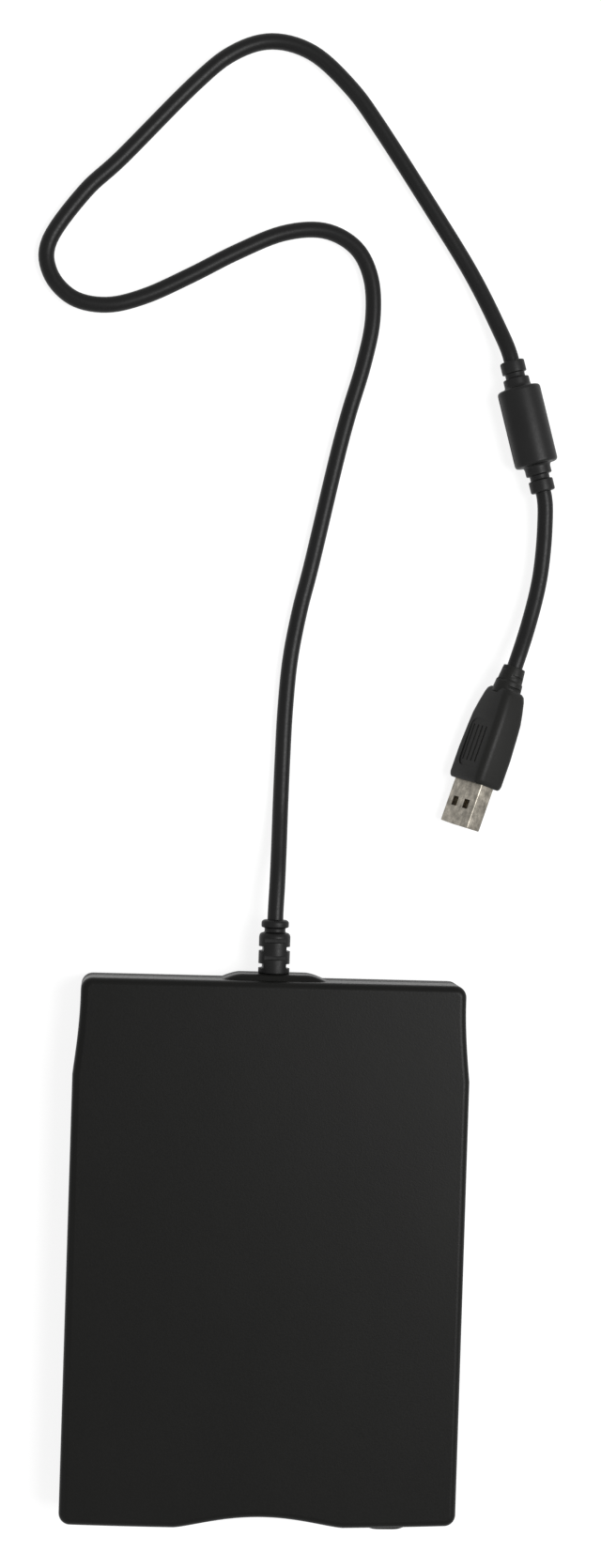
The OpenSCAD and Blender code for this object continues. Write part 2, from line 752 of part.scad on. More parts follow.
module chassis() {
    wall_in = side_x - chassis_t;
    color([0.68, 0.69, 0.7])
        drive()
            difference() {
                union() {
                    block([-side_x, side_x], [drive_y, drive_end], [z_base, z_deck]);
                    both_sides() {
                        block([wall_in, side_x], [8, drive_end], [z_base, z_lid]);
                        // lugs that the slide plate runs on
                        for (y = [22, 50, cage_end - 22.3])
                            block([wall_in - 1.4, side_x], [y, y + 6], [z_deck + 0.8, z_deck + 1.3]);
                        // lugs that hold the slide springs
                        block([spring_x - 1.4, flange_x - 0.3], [spring_y[0] - 0.8, spring_y[0]],
                            [z_base, z_deck + 2.3]);
                        // posts that the loaded disk rests on
                        for (p = post_pos)
                            pin(p.x, p.y, [z_base, z_loaded], 1.5);
                    }
                    block([-side_x, side_x], [drive_end - chassis_t, drive_end], [z_base, z_lid - 2.6]);
                    // pads under the main board
                    for (x = [-30, 30], y = [12, board_end - 13])
                        pin(x, y, [z_base, z_board], 2);
                    // stands of the guide rods and of the lead screw
                    for (y = [bracket_y, bracket2_y], x = [rod_x, rod2_x])
                        block([x - 3.2, x + 3.2], y, [z_base, rod_z + rod_r + 0.7]);
                    block([screw_x - 4, screw_x + 4], bracket_y, [z_base, screw_z + 2.6]);
                    block([screw_x - 7.4, screw_x + 6.4], [hinge_y - 2.3, hinge_y - 1.3],
                        [z_base, screw_z + can_r]);
                    pin(0, spindle_y, [z_base, z_deck + eps], 5);
                }
                for (p = chassis_screw_pos)
                    pin(p.x, p.y, [z_base - 1, z_deck + 1], 1.1);
                pin(0, spindle_y, [z_base - 1, z_deck + 1], 3.05);
                for (y = [bracket_y, bracket2_y]) {
                    rod(rod_x, [y[0] - 1, y[1] + 1], rod_z, rod_r + 0.02);
                    rod(rod2_x, [y[0] - 1, y[1] + 1], rod_z, rod_r - 0.3 + 0.02);
                }
                rod(screw_x, [bracket_y[0] - 1, bracket_y[1] + 1], screw_z, screw_r - 0.5 + run);
                rod(screw_x, [hinge_y - 3.5, hinge_y - 0.5], screw_z, screw_r + 0.6);
                // slots in which the cage's cam pins go up and down
                for (y = cam_ys)
                    block([-side_x - 1, side_x + 1], [y - cam_r - gap, y + cam_r + gap],
                        [cam_z - drop - cam_r - gap, z_lid + 1]);
                // way out for the ribbon
                block([ribbon_x[0] - 0.6, ribbon_x[1] + 0.6], [drive_end - 2, drive_end + 1],
                    [z_deck + 0.4, z_deck + 4.5]);
                // holes that lighten the deck
                for (y = [spindle_y + 21, spindle_y + 31])
                    block([-30, -12], [y, y + 6], [z_base - 1, z_deck + 1]);
            }
}

module shield_lid() {
    color([0.7, 0.71, 0.72])
        drive()
            difference() {
                union() {
                    block([-side_x, side_x], [8, drive_end], [z_lid, z_lid + lid_t]);
                    both_sides()
                        for (y = [40, drive_end / 2 + 7.5, drive_end - 25])
                            block([side_x, side_x + 0.4], [y - 5, y + 5], [z_lid - 1.6, z_lid + lid_t]);
                }
                pin(0, spindle_y, [z_lid - 1, z_lid + 2], 9);
                both_sides()
                    for (y = [22, drive_end - 47])
                        block([18, side_x - 8], [y, y + 3], [z_lid - 1, z_lid + 2]);
            }
}

module chassis_screws() {
    color([0.6, 0.6, 0.62])
        drive()
            for (p = chassis_screw_pos) {
                pin(p.x, p.y, [z_base - 1.2, z_deck], 0.8);
                pin(p.x, p.y, [z_deck, z_deck + 1], 1.9);
            }
}

board_x = side_x - 12.5;
module main_board() {
    color([0.12, 0.34, 0.22])
        drive()
            difference() {
                linear_extrude_at(z_board, board_t)
                    polygon([
                        [-board_x, 8], [board_x, 8], [board_x, board_end - 5.5],
                        [board_x + 6.5, board_end - 5.5], [board_x + 6.5, board_end], [12, board_end],
                        [12, board_end - 9], [-12, board_end - 9], [-12, board_end - 3],
                        [-board_x, board_end - 3]
                    ]);
                pin(0, spindle_y, [z_board - 1, z_board + 1], 3.05);
            }
}

module linear_extrude_at(z, h) {
    translate([0, 0, z])
        linear_extrude(h)
            children();
}

module board_parts() {
    z = z_board + board_t;
    color([0.1, 0.1, 0.11])
        drive() {
            block([5.5 - board_x, 17.5 - board_x], [12, 24], [z, z + 1.1]);
            block([board_x - 17.5, board_x - 7.5], [board_end - 21, board_end - 11], [z, z + 1.1]);
            block([5.5 - board_x, 11.5 - board_x], [board_end - 27, board_end - 18], [z, z + 1]);
            block([-8, 2], [13, 19], [z, z + 1.1]);
            block([board_x - 13.5, board_x - 8.5], [18, 22], [z, z + 0.9]);
            block([ribbon_x[0] - 0.6, ribbon_x[1] + 0.6], [board_end - 5, board_end], [z, z + 1.1]);
            for (i = [0:5]) {
                block([-14 + 4 * i, -12.4 + 4 * i], [24, 24.9], [z, z + 0.6]);
                block([board_x - 11.5, board_x - 9.9], [32 + 3 * i, 32.9 + 3 * i], [z, z + 0.6]);
            }
        }
}

module sense_switches() {
    z = z_board + board_t;
    color([0.16, 0.16, 0.17])
        drive()
            for (p = [[2.5 - board_x, 16], [board_x - 2.5, 16], [3.5 - board_x, board_end - 9]]) {
                block([p.x - 2, p.x + 2], [p.y - 2.5, p.y + 2.5], [z, z + 1.5]);
                pin(p.x, p.y, [z, z_loaded - 0.1], 0.7);
            }
}

// ---- Spindle motor ----

bush_top = z_board + board_t + 0.35;

module spindle_bush() {
    color([0.72, 0.6, 0.32])
        drive()
            difference() {
                union() {
                    pin(0, spindle_y, [z_base + 0.1, bush_top], 3);
                    pin(0, spindle_y, [z_board + board_t, bush_top], 6.6);
                }
                pin(0, spindle_y, [z_base, bush_top + 1], shaft_r + run);
            }
}

module stator_core() {
    tooth_end = rotor_r - 2.4;
    color([0.45, 0.46, 0.48])
        drive()
            translate([0, spindle_y, bush_top])
                linear_extrude(0.5) {
                    difference() {
                        circle(r = 8);
                        circle(r = shaft_r + 0.6);
                    }
                    for (i = [0:teeth - 1])
                        rotate([0, 0, 360 / teeth * i]) {
                            translate([7, -0.6])
                                square([tooth_end - 8, 1.2]);
                            intersection() {
                                difference() {
                                    circle(r = tooth_end);
                                    circle(r = tooth_end - 1.2);
                                }
                                translate([tooth_end - 2, -0.36 * PI * tooth_end / teeth * 2])
                                    square([3, 0.72 * PI * tooth_end / teeth * 2]);
                            }
                        }
                }
}

module stator_coils() {
    color([0.72, 0.38, 0.2])
        drive()
            translate([0, spindle_y, bush_top])
                for (i = [0:teeth - 1])
                    rotate([0, 0, 360 / teeth * i])
                        difference() {
                            translate([8.4, -1.25, -0.25])
                                cube([rotor_r - 12.3, 2.5, 1]);
                            translate([8, -0.6, 0])
                                cube([rotor_r, 1.2, 0.5]);
                        }
}

module rotor_cup() {
    color([0.66, 0.67, 0.69])
        drive()
            difference() {
                union() {
                    pin(0, spindle_y, [z_rotor - 0.5, z_rotor], rotor_r);
                    pin(0, spindle_y, [z_rotor - 1.5, z_rotor], rotor_r);
                }
                pin(0, spindle_y, [z_rotor - 2, z_rotor - 0.5], rotor_r - 0.7);
                pin(0, spindle_y, [z_rotor - 2, z_rotor + 1], shaft_r);
            }
}

module rotor_magnet() {
    color([0.2, 0.2, 0.22])
        drive()
            difference() {
                pin(0, spindle_y, [z_rotor - 1.4, z_rotor - 0.5], rotor_r - 0.7);
                pin(0, spindle_y, [z_rotor - 2, z_rotor], rotor_r - 1.8);
            }
}

module spindle_shaft() {
    color([0.75, 0.76, 0.78])
        drive()
            pin(0, spindle_y, [z_base + 0.2, z_rotor + 0.3], shaft_r);
}

module spindle_hub() {
    color([0.3, 0.3, 0.32])
        drive()
            difference() {
                union() {
                    pin(0, spindle_y, [z_rotor, z_rotor + 0.3], 12.8);
                    pin(0, spindle_y, [z_rotor + 0.3, z_rotor + 1.2], 1.95);
                    translate([0, spindle_y, z_rotor + 1.2])
                        cylinder(r1 = 1.95, r2 = 1.4, h = 0.4);
                }
                pin(0, spindle_y, [z_rotor - 1, z_rotor + 0.3], shaft_r);
                pin(10, spindle_y, [z_rotor - 1, z_rotor + 1], 1.4);
            }
}

module drive_pin() {
    color([0.8, 0.8, 0.82])
        drive() {
            pin(10, spindle_y, [z_rotor, z_rotor + 0.9], 1);
            translate([10, spindle_y, z_rotor + 0.9])
                cylinder(r1 = 1, r2 = 0.6, h = 0.3);
        }
}

// ---- Head stepper and carriage ----

module stepper_motor() {
    color([0.6, 0.61, 0.63])
        drive()
            difference() {
                union() {
                    rod(screw_x, [hinge_y - 1.3, drive_end - chassis_t - 0.2], screw_z, can_r);
                    rod(screw_x, [hinge_y - 0.5, hinge_y + 0.5], screw_z, can_r + 0.1);
                }
                rod(screw_x, [hinge_y - 2.5, hinge_y + 6.5], screw_z, screw_r + 0.2);
            }
}

module lead_screw() {
    color([0.78, 0.78, 0.8])
        drive() {
            rod(screw_x, [bracket_y[1] + 0.1, hinge_y + 6.3], screw_z, screw_r);
            rod(screw_x, [bracket_y[0], bracket_y[1] + 0.2], screw_z, screw_r - 0.5);
        }
}

module guide_rods() {
    color([0.8, 0.8, 0.82])
        drive() {
            rod(rod_x, [bracket_y[0], bracket2_y[1]], rod_z, rod_r);
            rod(rod2_x, [bracket_y[0], bracket2_y[1]], rod_z, rod_r - 0.3);
        }
}

module track_sensor() {
    color([0.1, 0.1, 0.1])
        drive()
            difference() {
                block([20, 24.5], [hinge_y - 1.5, hinge_y + 3.5], [z_deck, z_deck + 5.6]);
                block([19, 23], [hinge_y - 2.5, hinge_y + 4.5], [z_deck + 2.8, z_deck + 4.4]);
            }
}

module head_carriage() {
    top = rod_z + rod_r + 0.9;
    color([0.24, 0.24, 0.25])
        drive()
            difference() {
                union() {
                    block([rod2_x - 2.4, rod_x + 3], block_y, [z_deck + 0.6, top]);
                    // tongue that carries the lower head
                    block([-5, 5], [head_y - 4, block_y[0] + 2], [z_deck + 1.3, z_deck + 2.7]);
                    // ears of the arm's hinge
                    both_sides()
                        hull() {
                            cross_pin([8, 10], hinge_y, hinge_z, 1.9);
                            block([8, 10], [hinge_y - 3, hinge_y + 3], [top - 0.5, top]);
                        }
                    // nut on the lead screw
                    block([screw_x - 2.6, rod2_x + 1], nut_y, [z_deck + 2.6, screw_z + 2.6]);
                    // flag of the track sensor
                    block([rod_x + 2, 22.4], [hinge_y - 0.1, hinge_y + 2.1], [z_deck + 3.3, z_deck + 3.9]);
                }
                rod(rod_x, [block_y[0] - 1, block_y[1] + 1], rod_z, rod_r + run);
                // open fork on the second rod
                rod(rod2_x, [nut_y[0] - 1, block_y[1] + 1], rod_z, rod_r - 0.3 + run);
                block([rod2_x - 4, rod2_x], [nut_y[0] - 1, block_y[1] + 1],
                    [rod_z - rod_r + 0.3 - run, rod_z + rod_r - 0.3 + run]);
                rod(screw_x, [nut_y[0] - 1, nut_y[1] + 1], screw_z, screw_r + run);
                both_sides()
                    cross_pin([7, 11], hinge_y, hinge_z, 0.8);
                // hollow between the ears
                block([-6.6, 6.6], [block_y[0] + 1.5, block_y[1] - 1.5], [z_deck + 3, top + 1]);
            }
}

module lower_head() {
    color([0.15, 0.15, 0.16])
        drive() {
            block([-2, 2], [head_y - 2.5, head_y + 2.5], [z_deck + 2.7, head_tip - 0.25]);
            block([-3.6, 3.6], [head_y - 3.4, head_y + 3.4], [z_deck + 2.7, z_deck + 3]);
        }
}

module arm_pin() {
    color([0.8, 0.8, 0.82])
        drive()
            cross_pin([-10, 10], hinge_y, hinge_z, 0.8);
}

// Shapes of the upper arm are drawn as they lie on a loaded disk, and shown lifted
module lifted() {
    drive()
        translate([0, hinge_y, hinge_z])
            rotate([-arm_lift, 0, 0])
                translate([0, -hinge_y, -hinge_z])
                    children();
}

arm_low = hinge_z - 0.45;
module upper_arm() {
    color([0.7, 0.7, 0.72])
        lifted()
            difference() {
                union() {
                    linear_extrude_at(arm_low, 0.6)
                        polygon([
                            [-3.4, head_y - 2], [3.4, head_y - 2], [4.4, head_y + 1.5],
                            [7.6, hinge_y - 8.5], [7.6, hinge_y], [-7.6, hinge_y],
                            [-7.6, hinge_y - 8.5], [-4.4, head_y + 1.5]
                        ]);
                    cross_pin([-7.6, 7.6], hinge_y, hinge_z, 1.5);
                    // stiffening ribs
                    both_sides()
                        block([2.6, 3.2], [head_y + 3.5, hinge_y - 1], [arm_low + 0.5, arm_low + 1.1]);
                }
                cross_pin([-9, 9], hinge_y, hinge_z, 0.8 + run);
                cross_pin([-3.2, 3.2], hinge_y, hinge_z, 2.6);
                block([-3.2, 3.2], [hinge_y - 2.6, hinge_y + 2], [arm_low - 1, arm_low + 2]);
                pin(0, (head_y + hinge_y) / 2 - 2.5, [arm_low - 1, arm_low + 1], 1.8);
            }
}

module upper_head() {
    color([0.15, 0.15, 0.16])
        lifted() {
            block([-2, 2], [head_y - 2, head_y + 2.5], [head_tip, arm_low]);
            block([-3, 3], [head_y - 2, head_y + 3], [arm_low - 0.4, arm_low]);
        }
}

module arm_spring() {
    color([0.7, 0.7, 0.72])
        lifted()
            translate([0, hinge_y, hinge_z])
                rotate([0, 90, 0])
                    coil(1.35, 0.2, -2.9, 2.9, 6);
}

// ---- Disk cage and slide plate ----

module disk_cage() {
    color([0.72, 0.73, 0.74])
        drive()
            difference() {
                union() {
                    block([-cage_x - sheet_t, cage_x + sheet_t], [cage_y, cage_end],
                        [z_cage, z_cage + sheet_t]);
                    both_sides() {
                        block([cage_x, cage_x + sheet_t], [cage_y, cage_end],
                            [z_disk - sheet_t, z_cage + eps]);
                        block([cage_x - 3.5, cage_x + eps], [cage_y, cage_end], [z_disk - sheet_t, z_disk]);
                        for (y = cam_ys)
                            cross_pin([cage_x + sheet_t / 2, side_x - 0.1], y, cam_z, cam_r);
                    }
                }
                block([-cage_window, cage_window], [spindle_y + 15, cage_end + 1],
                    [z_cage - 1, z_cage + 1]);
                pin(0, spindle_y, [z_cage - 1, z_cage + 1], 11);
                // entry cut back in the middle, and windows that lighten the plate
                block([-20, 20], [cage_y - 1, cage_y + 5], [z_cage - 1, z_cage + 1]);
                both_sides()
                    for (y = [26, cage_end - 36.3])
                        block([20, cage_x - 7.3], [y, y + 12], [z_cage - 1, z_cage + 1]);
            }
}

module slide_plate() {
    x0 = flange_x;
    x1 = flange_x + sheet_t;
    front = cage_y + slide_travel + 1;
    low = z_deck + 1.4;
    color([0.66, 0.67, 0.69])
        drive()
            difference() {
                union() {
                    block([-x1, x1], [front, slide_end], [z_slide, z_slide + sheet_t]);
                    both_sides() {
                        block([x0, x1], [front, slide_end], [low, z_slide + eps]);
                        // hooks of the slide springs
                        block([spring_x - 1.4, x1], [spring_y[1], spring_y[1] + 0.8],
                            [z_deck + 0.3, z_deck + 2.3]);
                    }
                    // arm that reaches forward and under the disk to the button
                    block([x0, x1], [tab_y, front + eps], [low, button_z + button_h]);
                    block([button_x - 3, x1], [tab_y, tab_y + 4], [button_z + 1, button_z + 1 + sheet_t]);
                    // tongue that the shutter lever latches
                    block([lever_x + 4.5, lever_x + 9], [slide_end - 1, lever_y + 1.1],
                        [z_slide, z_slide + sheet_t]);
                    block([lever_x + 6.4, lever_x + 9], [latch_y, latch_y + 2],
                        [lever_z[0], z_slide + eps]);
                }
                // cam slots: one in ratio drop to slide_travel
                for (y = cam_ys)
                    both_sides()
                        translate([x0 - 1, y, cam_z])
                            cam_slot();
                block([-cage_window, cage_window], [spindle_y + 13, slide_end + 1],
                    [z_slide - 1, z_slide + 1]);
                block([-32, 32], [front - 1, 28], [z_slide - 1, z_slide + 1]);
                both_sides()
                    block([18, flange_x - 8.3], [36, cage_end - 14.3], [z_slide - 1, z_slide + 1]);
            }
}

// Sloped slot in a flange, from the pin's place at rest to its place when loaded
module cam_slot() {
    run_l = norm([slide_travel, drop]);
    r = cam_r + gap;
    for (p = [[0, 0], [slide_travel, -drop]])
        translate([0, p.x, p.y])
            rotate([0, 90, 0])
                cylinder(r = r, h = 3);
    rotate([-atan2(drop, slide_travel), 0, 0])
        translate([0, 0, -r])
            cube([3, run_l, 2 * r]);
}

module slide_springs() {
    z = z_deck + 1.3;
    color([0.7, 0.7, 0.72])
        drive()
            both_sides()
                translate([spring_x - 0.2, spring_y[1] - 0.1, z])
                    rotate([90, 0, 0])
                        coil(0.85, 0.2, 0, spring_y[1] - spring_y[0] - 0.2, 14, 6);
}

module eject_button() {
    w = button_w / 2;
    y0 = -button_bow - button_proud;
    color([0.14, 0.14, 0.14])
        drive()
            difference() {
                union() {
                    linear_extrude_at(button_z, button_h)
                        union() {
                            polygon([
                                [button_x - w, 7], [button_x - w, y0 + 2.2], [button_x - w + 0.9, y0 + 1],
                                [button_x - w + 2.4, y0 + 0.25], [button_x - w + 4, y0],
                                [button_x + w - 4, y0], [button_x + w - 2.4, y0 + 0.25],
                                [button_x + w - 0.9, y0 + 1], [button_x + w, y0 + 2.2], [button_x + w, 7]
                            ]);
                        }
                    for (z = [button_z + 0.2, button_z + 1 + sheet_t])
                        block([button_x - 3, button_x + 3], [6.9, tab_y + 3], [z, z + 0.8]);
                    block([button_x - 3, button_x + 3], [6.9, tab_y],
                        [button_z + 0.2, button_z + 1.8 + sheet_t]);
                }
                // hollow back
                block([button_x - w + 1, button_x + w - 1], [3, 5.8],
                    [button_z + 0.8, button_z + button_h - 0.8]);
            }
}

// ---- Shutter lever ----

latch_y = lever_y + nose_l * sin(nose_at) + nose_r + 0.3;

module lever_place() {
    drive()
        translate([lever_x, lever_y, 0])
            children();
}

// A flat arm that narrows from the hub to a round end
module lever_arm(at, length, half, r) {
    rotate(at) {
        polygon([[0, -2.6], [length, -half], [length, half], [0, 2.6]]);
        translate([length, 0])
            circle(r = r);
    }
}

module shutter_lever() {
    color([0.72, 0.72, 0.74])
        lever_place() {
            translate([0, 0, lever_z[0]])
                linear_extrude(lever_z[1] - lever_z[0])
                    difference() {
                        union() {
                            circle(r = 3);
                            lever_arm(lever_at, lever_l, 1.2, 1.6);
                            lever_arm(nose_at, nose_l, 0.9, nose_r);
                        }
                        circle(r = post_r + run);
                    }
            // roller that meets the disk's edge
            rotate([0, 0, lever_at])
                translate([lever_l, 0, lever_z[0] - 0.2])
                    cylinder(r = 1.9, h = 1.9);
        }
}

module lever_post() {
    color([0.78, 0.78, 0.8])
        lever_place() {
            pin(0, 0, [z_deck, lever_z[0] - 0.1], 2);
            pin(0, 0, [z_deck, lever_z[1] + 0.7], post_r);
            pin(0, 0, [lever_z[1] + 0.1, lever_z[1] + 0.6], 2);
        }
}

module lever_spring() {
    color([0.7, 0.7, 0.72])
        lever_place()
            coil(2.5, 0.22, z_deck + 0.4, lever_z[0] - 0.15, 5);
}

// ---- Dust door ----

module dust_door() {
    top = door_axis_z - 0.3;
    color([0.1, 0.1, 0.1])
        drive() {
            difference() {
                union() {
                    block([-door_x, door_x], [door_y, door_axis_y], [door_low, top]);
                    cross_pin([-door_x, door_x], door_axis_y, door_axis_z, 0.75);
                }
                // room for the spring
                block([-3.2, 3.2], [door_y - 1, door_axis_y + 2], [door_axis_z - 1.2, door_axis_z + 2]);
            }
            cross_pin([-door_x - 0.9, door_x + 0.9], door_axis_y, door_axis_z, door_pin_r);
            // ribs on the inner face
            for (x = [-36, -24, -12, 12, 24, 36])
                block([x - 0.4, x + 0.4], [door_axis_y - eps, door_axis_y + 0.4],
                    [door_low + 0.6, top - 1.2]);
        }
}

module door_spring() {
    color([0.7, 0.7, 0.72])
        drive()
            translate([0, door_axis_y, door_axis_z])
                rotate([0, 90, 0])
                    coil(0.84, 0.13, -2.9, 2.9, 7, 6);
}

// ---- Lead: cord, ferrite cover and plug ----

module on_bead() {
    translate(bead_at)
        rotate([90, 0, bead_axis])
            children();
}

function along(angle) = [sin(angle), -cos(angle), 0];

bead_way = along(bead_axis);
cord_start = [0, y_front + boot_tip, z_exit];
bead_near = bead_at - bead_half * bead_way;
bead_far = bead_at + bead_half * bead_way;

// The console prints the length of each free cord, measured on a fine line
main_knots = cord_knots(cord_start, [0, 1, 0], main_route, bead_near, bead_way);
tail_knots = cord_knots(bead_far, bead_way, tail_route, plug_at, along(plug_axis));
echo(main_cord_mm = line_length(cord_points(main_knots, 8)));
echo(tail_cord_mm = line_length(cord_points(tail_knots, 8)));

module cord_main() {
    color([0.07, 0.07, 0.07])
        cord(cord_start, [0, 1, 0], main_route, bead_near, bead_way, cord_r, cord_sides, 2);
}

module cord_tail() {
    color([0.07, 0.07, 0.07])
        cord(bead_far, bead_way, tail_route, plug_at, along(plug_axis), cord_r, cord_sides, 2);
}

module ferrite_cover() {
    r = bead_d / 2;
    h = bead_l / 2;
    neck = 2.6;
    collar = 3.25;
    color([0.08, 0.08, 0.08])
        on_bead()
            difference() {
                rotate_extrude()
                    polygon(concat(
                        [[0, -bead_half], [collar - 0.4, -bead_half], [collar, -bead_half + 0.4],
                            [collar, -bead_half + 3.2], [neck, -bead_half + 3.2], [neck, -bead_half + 4.6],
                            [collar + 0.2, -bead_half + 4.6], [collar + 0.2, -h - 1.2]],
                        [for (i = [0:4]) [r - 1.6 + 1.6 * sin(22.5 * i), -h + 1.6 - 1.6 * cos(22.5 * i)]],
                        [for (i = [0:4]) [r - 1.6 + 1.6 * cos(22.5 * i), h - 1.6 + 1.6 * sin(22.5 * i)]],
                        [[collar + 0.2, h + 1.2], [collar + 0.2, bead_half - 4.6], [neck, bead_half - 4.6],
                            [neck, bead_half - 3.2], [collar, bead_half - 3.2], [collar, bead_half - 0.4],
                            [collar - 0.4, bead_half], [0, bead_half]]
                    ));
                cylinder(r = cord_r, h = 3 * bead_half, center = true);
                cylinder(r = r - 1.2, h = bead_l - 2.4, center = true);
            }
}

module ferrite_core() {
    color([0.25, 0.25, 0.27])
        on_bead()
            difference() {
                cylinder(r = bead_d / 2 - 1.2, h = bead_l - 2.4, center = true);
                cylinder(r = cord_r, h = bead_l, center = true);
            }
}

module bead_cord() {
    color([0.07, 0.07, 0.07])
        on_bead()
            cylinder(r = cord_r, h = 2 * bead_half, center = true);
}

// Local Z runs from the cord to the plug's tip, X across its wide faces
module on_plug() {
    translate(plug_at)
        rotate([90, 0, plug_axis])
            rotate([0, 0, plug_roll])
                children();
}

module grip_slab(z, w, t, r) {
    translate([0, 0, z])
        linear_extrude(eps)
            rounded_rect(w, t, r);
}

module plug_grip() {
    color([0.09, 0.09, 0.09])
        on_plug()
            difference() {
                union() {
                    cylinder(d = 6.8, h = 7);
                    hull() {
                        grip_slab(6.6, 0.7 * grip_w, 0.75 * grip_t, grip_r);
                        grip_slab(14, grip_w - 0.8, grip_t - 0.4, grip_r);
                        grip_slab(grip_l - 1.2, grip_w, grip_t, grip_r);
                        grip_slab(grip_l - eps, grip_w - 1, grip_t - 1, grip_r - 0.5);
                    }
                }
                // rings cut in the strain relief
                for (z = [1.6, 3.6, 5.4])
                    difference() {
                        translate([0, 0, z])
                            cylinder(d = 9, h = 0.8);
                        cylinder(d = 5.2, h = 8);
                    }
                // shallow bare panel on each wide face
                for (s = [-1, 1])
                    translate([0, s * (grip_t / 2 + 0.2), 20.5])
                        rotate([90, 0, 0])
                            linear_extrude(0.9, center = true)
                                rounded_rect(8, 13, 2);
                translate([-shell_w / 2, -shell_h / 2, grip_l - 5])
                    cube([shell_w, shell_h, 9]);
            }
}

module plug_shell() {
    color([0.72, 0.71, 0.68])
        on_plug()
            translate([0, 0, grip_l - 5])
                difference() {
                    linear_extrude(shell_l + 5)
                        difference() {
                            rounded_rect(shell_w, shell_h, 0.45);
                            square([shell_w - 2 * shell_t, shell_h - 2 * shell_t], center = true);
                        }
                    for (x = [-2.5, 2.5])
                        translate([x, 0, 5 + 0.5 * shell_l])
                            cube([2.3, 9, 2.5], center = true);
                }
}

module plug_tongue() {
    color([0.85, 0.85, 0.82])
        on_plug() {
            translate([shell_t - shell_w / 2, shell_t - shell_h / 2, grip_l - 4])
                cube([shell_w - 2 * shell_t, 1.85, shell_l + 3.5]);
            translate([shell_t - shell_w / 2, shell_t - shell_h / 2, grip_l - 4])
                cube([shell_w - 2 * shell_t, shell_h - 2 * shell_t, 4]);
        }
}

module plug_contacts() {
    color([0.83, 0.7, 0.35])
        on_plug()
            for (x = [-3.5, -1, 1, 3.5])
                translate([x - 0.5, shell_t - shell_h / 2 + 1.85, grip_l])
                    cube([1, 0.12, abs(x) > 2 ? 9.6 : 8.6]);
}

top_cover();
bottom_cover();
front_bezel();
rubber_feet();
case_screws();
lamp_window();
activity_lamp();
cable_boot();
cord_inner();
cord_wires();
usb_board();
usb_parts();
ribbon_cable();
chassis();
shield_lid();
chassis_screws();
main_board();
board_parts();
sense_switches();
spindle_bush();
stator_core();
stator_coils();
rotor_cup();
rotor_magnet();
spindle_shaft();
spindle_hub();
drive_pin();
stepper_motor();
lead_screw();
guide_rods();
track_sensor();
head_carriage();
lower_head();
arm_pin();
upper_arm();
upper_head();
arm_spring();
disk_cage();
slide_plate();
slide_springs();
eject_button();
shutter_lever();
lever_post();
lever_spring();
dust_door();
door_spring();
cord_main();
ferrite_cover();
ferrite_core();
bead_cord();
cord_tail();
plug_grip();
plug_shell();
plug_tongue();
plug_contacts();
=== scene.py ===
"""External floppy disk drive: looks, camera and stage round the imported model."""
import itertools
import json
import math
import bpy
import bmesh
from mathutils import Euler, Matrix, Vector


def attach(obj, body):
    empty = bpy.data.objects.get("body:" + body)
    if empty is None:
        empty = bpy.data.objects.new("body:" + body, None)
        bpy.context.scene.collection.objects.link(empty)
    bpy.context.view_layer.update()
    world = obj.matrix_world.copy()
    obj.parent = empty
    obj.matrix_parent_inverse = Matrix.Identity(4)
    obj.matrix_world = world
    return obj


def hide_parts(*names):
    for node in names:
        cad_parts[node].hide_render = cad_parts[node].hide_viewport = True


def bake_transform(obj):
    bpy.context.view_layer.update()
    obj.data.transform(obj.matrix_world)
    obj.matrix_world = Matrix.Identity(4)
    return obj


bl_info = {
    "name": "External Disk Drive",
    "version": (1, 0, 0),
    "blender": (4, 5, 0),
    "location": "View3D > Sidebar > Disk Drive",
    "description": "Case, front, lead and stage of an external floppy disk drive",
    "category": "Add Mesh",
}

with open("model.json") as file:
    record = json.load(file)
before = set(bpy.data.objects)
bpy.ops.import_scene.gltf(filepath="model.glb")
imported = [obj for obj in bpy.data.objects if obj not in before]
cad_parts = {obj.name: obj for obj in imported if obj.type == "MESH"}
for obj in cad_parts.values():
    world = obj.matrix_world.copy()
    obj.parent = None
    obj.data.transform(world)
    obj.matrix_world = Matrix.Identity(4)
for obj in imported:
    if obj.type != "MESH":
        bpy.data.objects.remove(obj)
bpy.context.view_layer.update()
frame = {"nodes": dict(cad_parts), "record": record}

MM = 0.001

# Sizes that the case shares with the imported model, in millimetres
CASE_H = 17.5
CORNER_R = 3.0
EDGE_R = 2.0
FOOT_H = 0.8
WALL = 1.8
SEAM_Z = 8.6
SEAM_GROOVE = 0.2
FRONT_BOW = 0.75
SCOOP_W, SCOOP_D = 44.0, 2.9
TAPER_D, TAPER_L = 1.5, 25.0
BULGE_W, BULGE_D, BULGE_H = 18.0, 1.5, 5.6
BULGE_FADE, BULGE_HOLE_R = 5.6, 3.3
OPEN_X = 47.5
OPEN_Z = (3.2, 14.9)
FRONT_DEPTH = 3.3
PANEL_IN = 0.35
SLOT_W = 91.8
SLOT_Z = (8.3, 12.9)
THROAT = 5.1
Y_FRONT = -69.36
CASE_W, CASE_L = 103.0, 141.0
Y_REAR = Y_FRONT + CASE_L
CORD_R = 2.1
BOOT_TIP = Y_FRONT + 156.5
BEAD_AT = Vector((62.9, 219.2, 5.75))
BEAD_TURN = 15.7
BEAD_HALF = 17.7
BEAD_NECK_R, BEAD_COLLAR_R = 2.6, 3.25
PLUG_AT = Vector((61.2, 155.3, 7.76))
PLUG_TURN = -17.5
PLUG_ROLL = 62.0
GRIP_W, GRIP_T, GRIP_L = 14.2, 9.0, 32.4
GRIP_PANEL_W, GRIP_PANEL_L, GRIP_PANEL_AT = 8.0, 13.0, 22.3
GROOVE_W, GROOVE_L = 0.6, 9.8
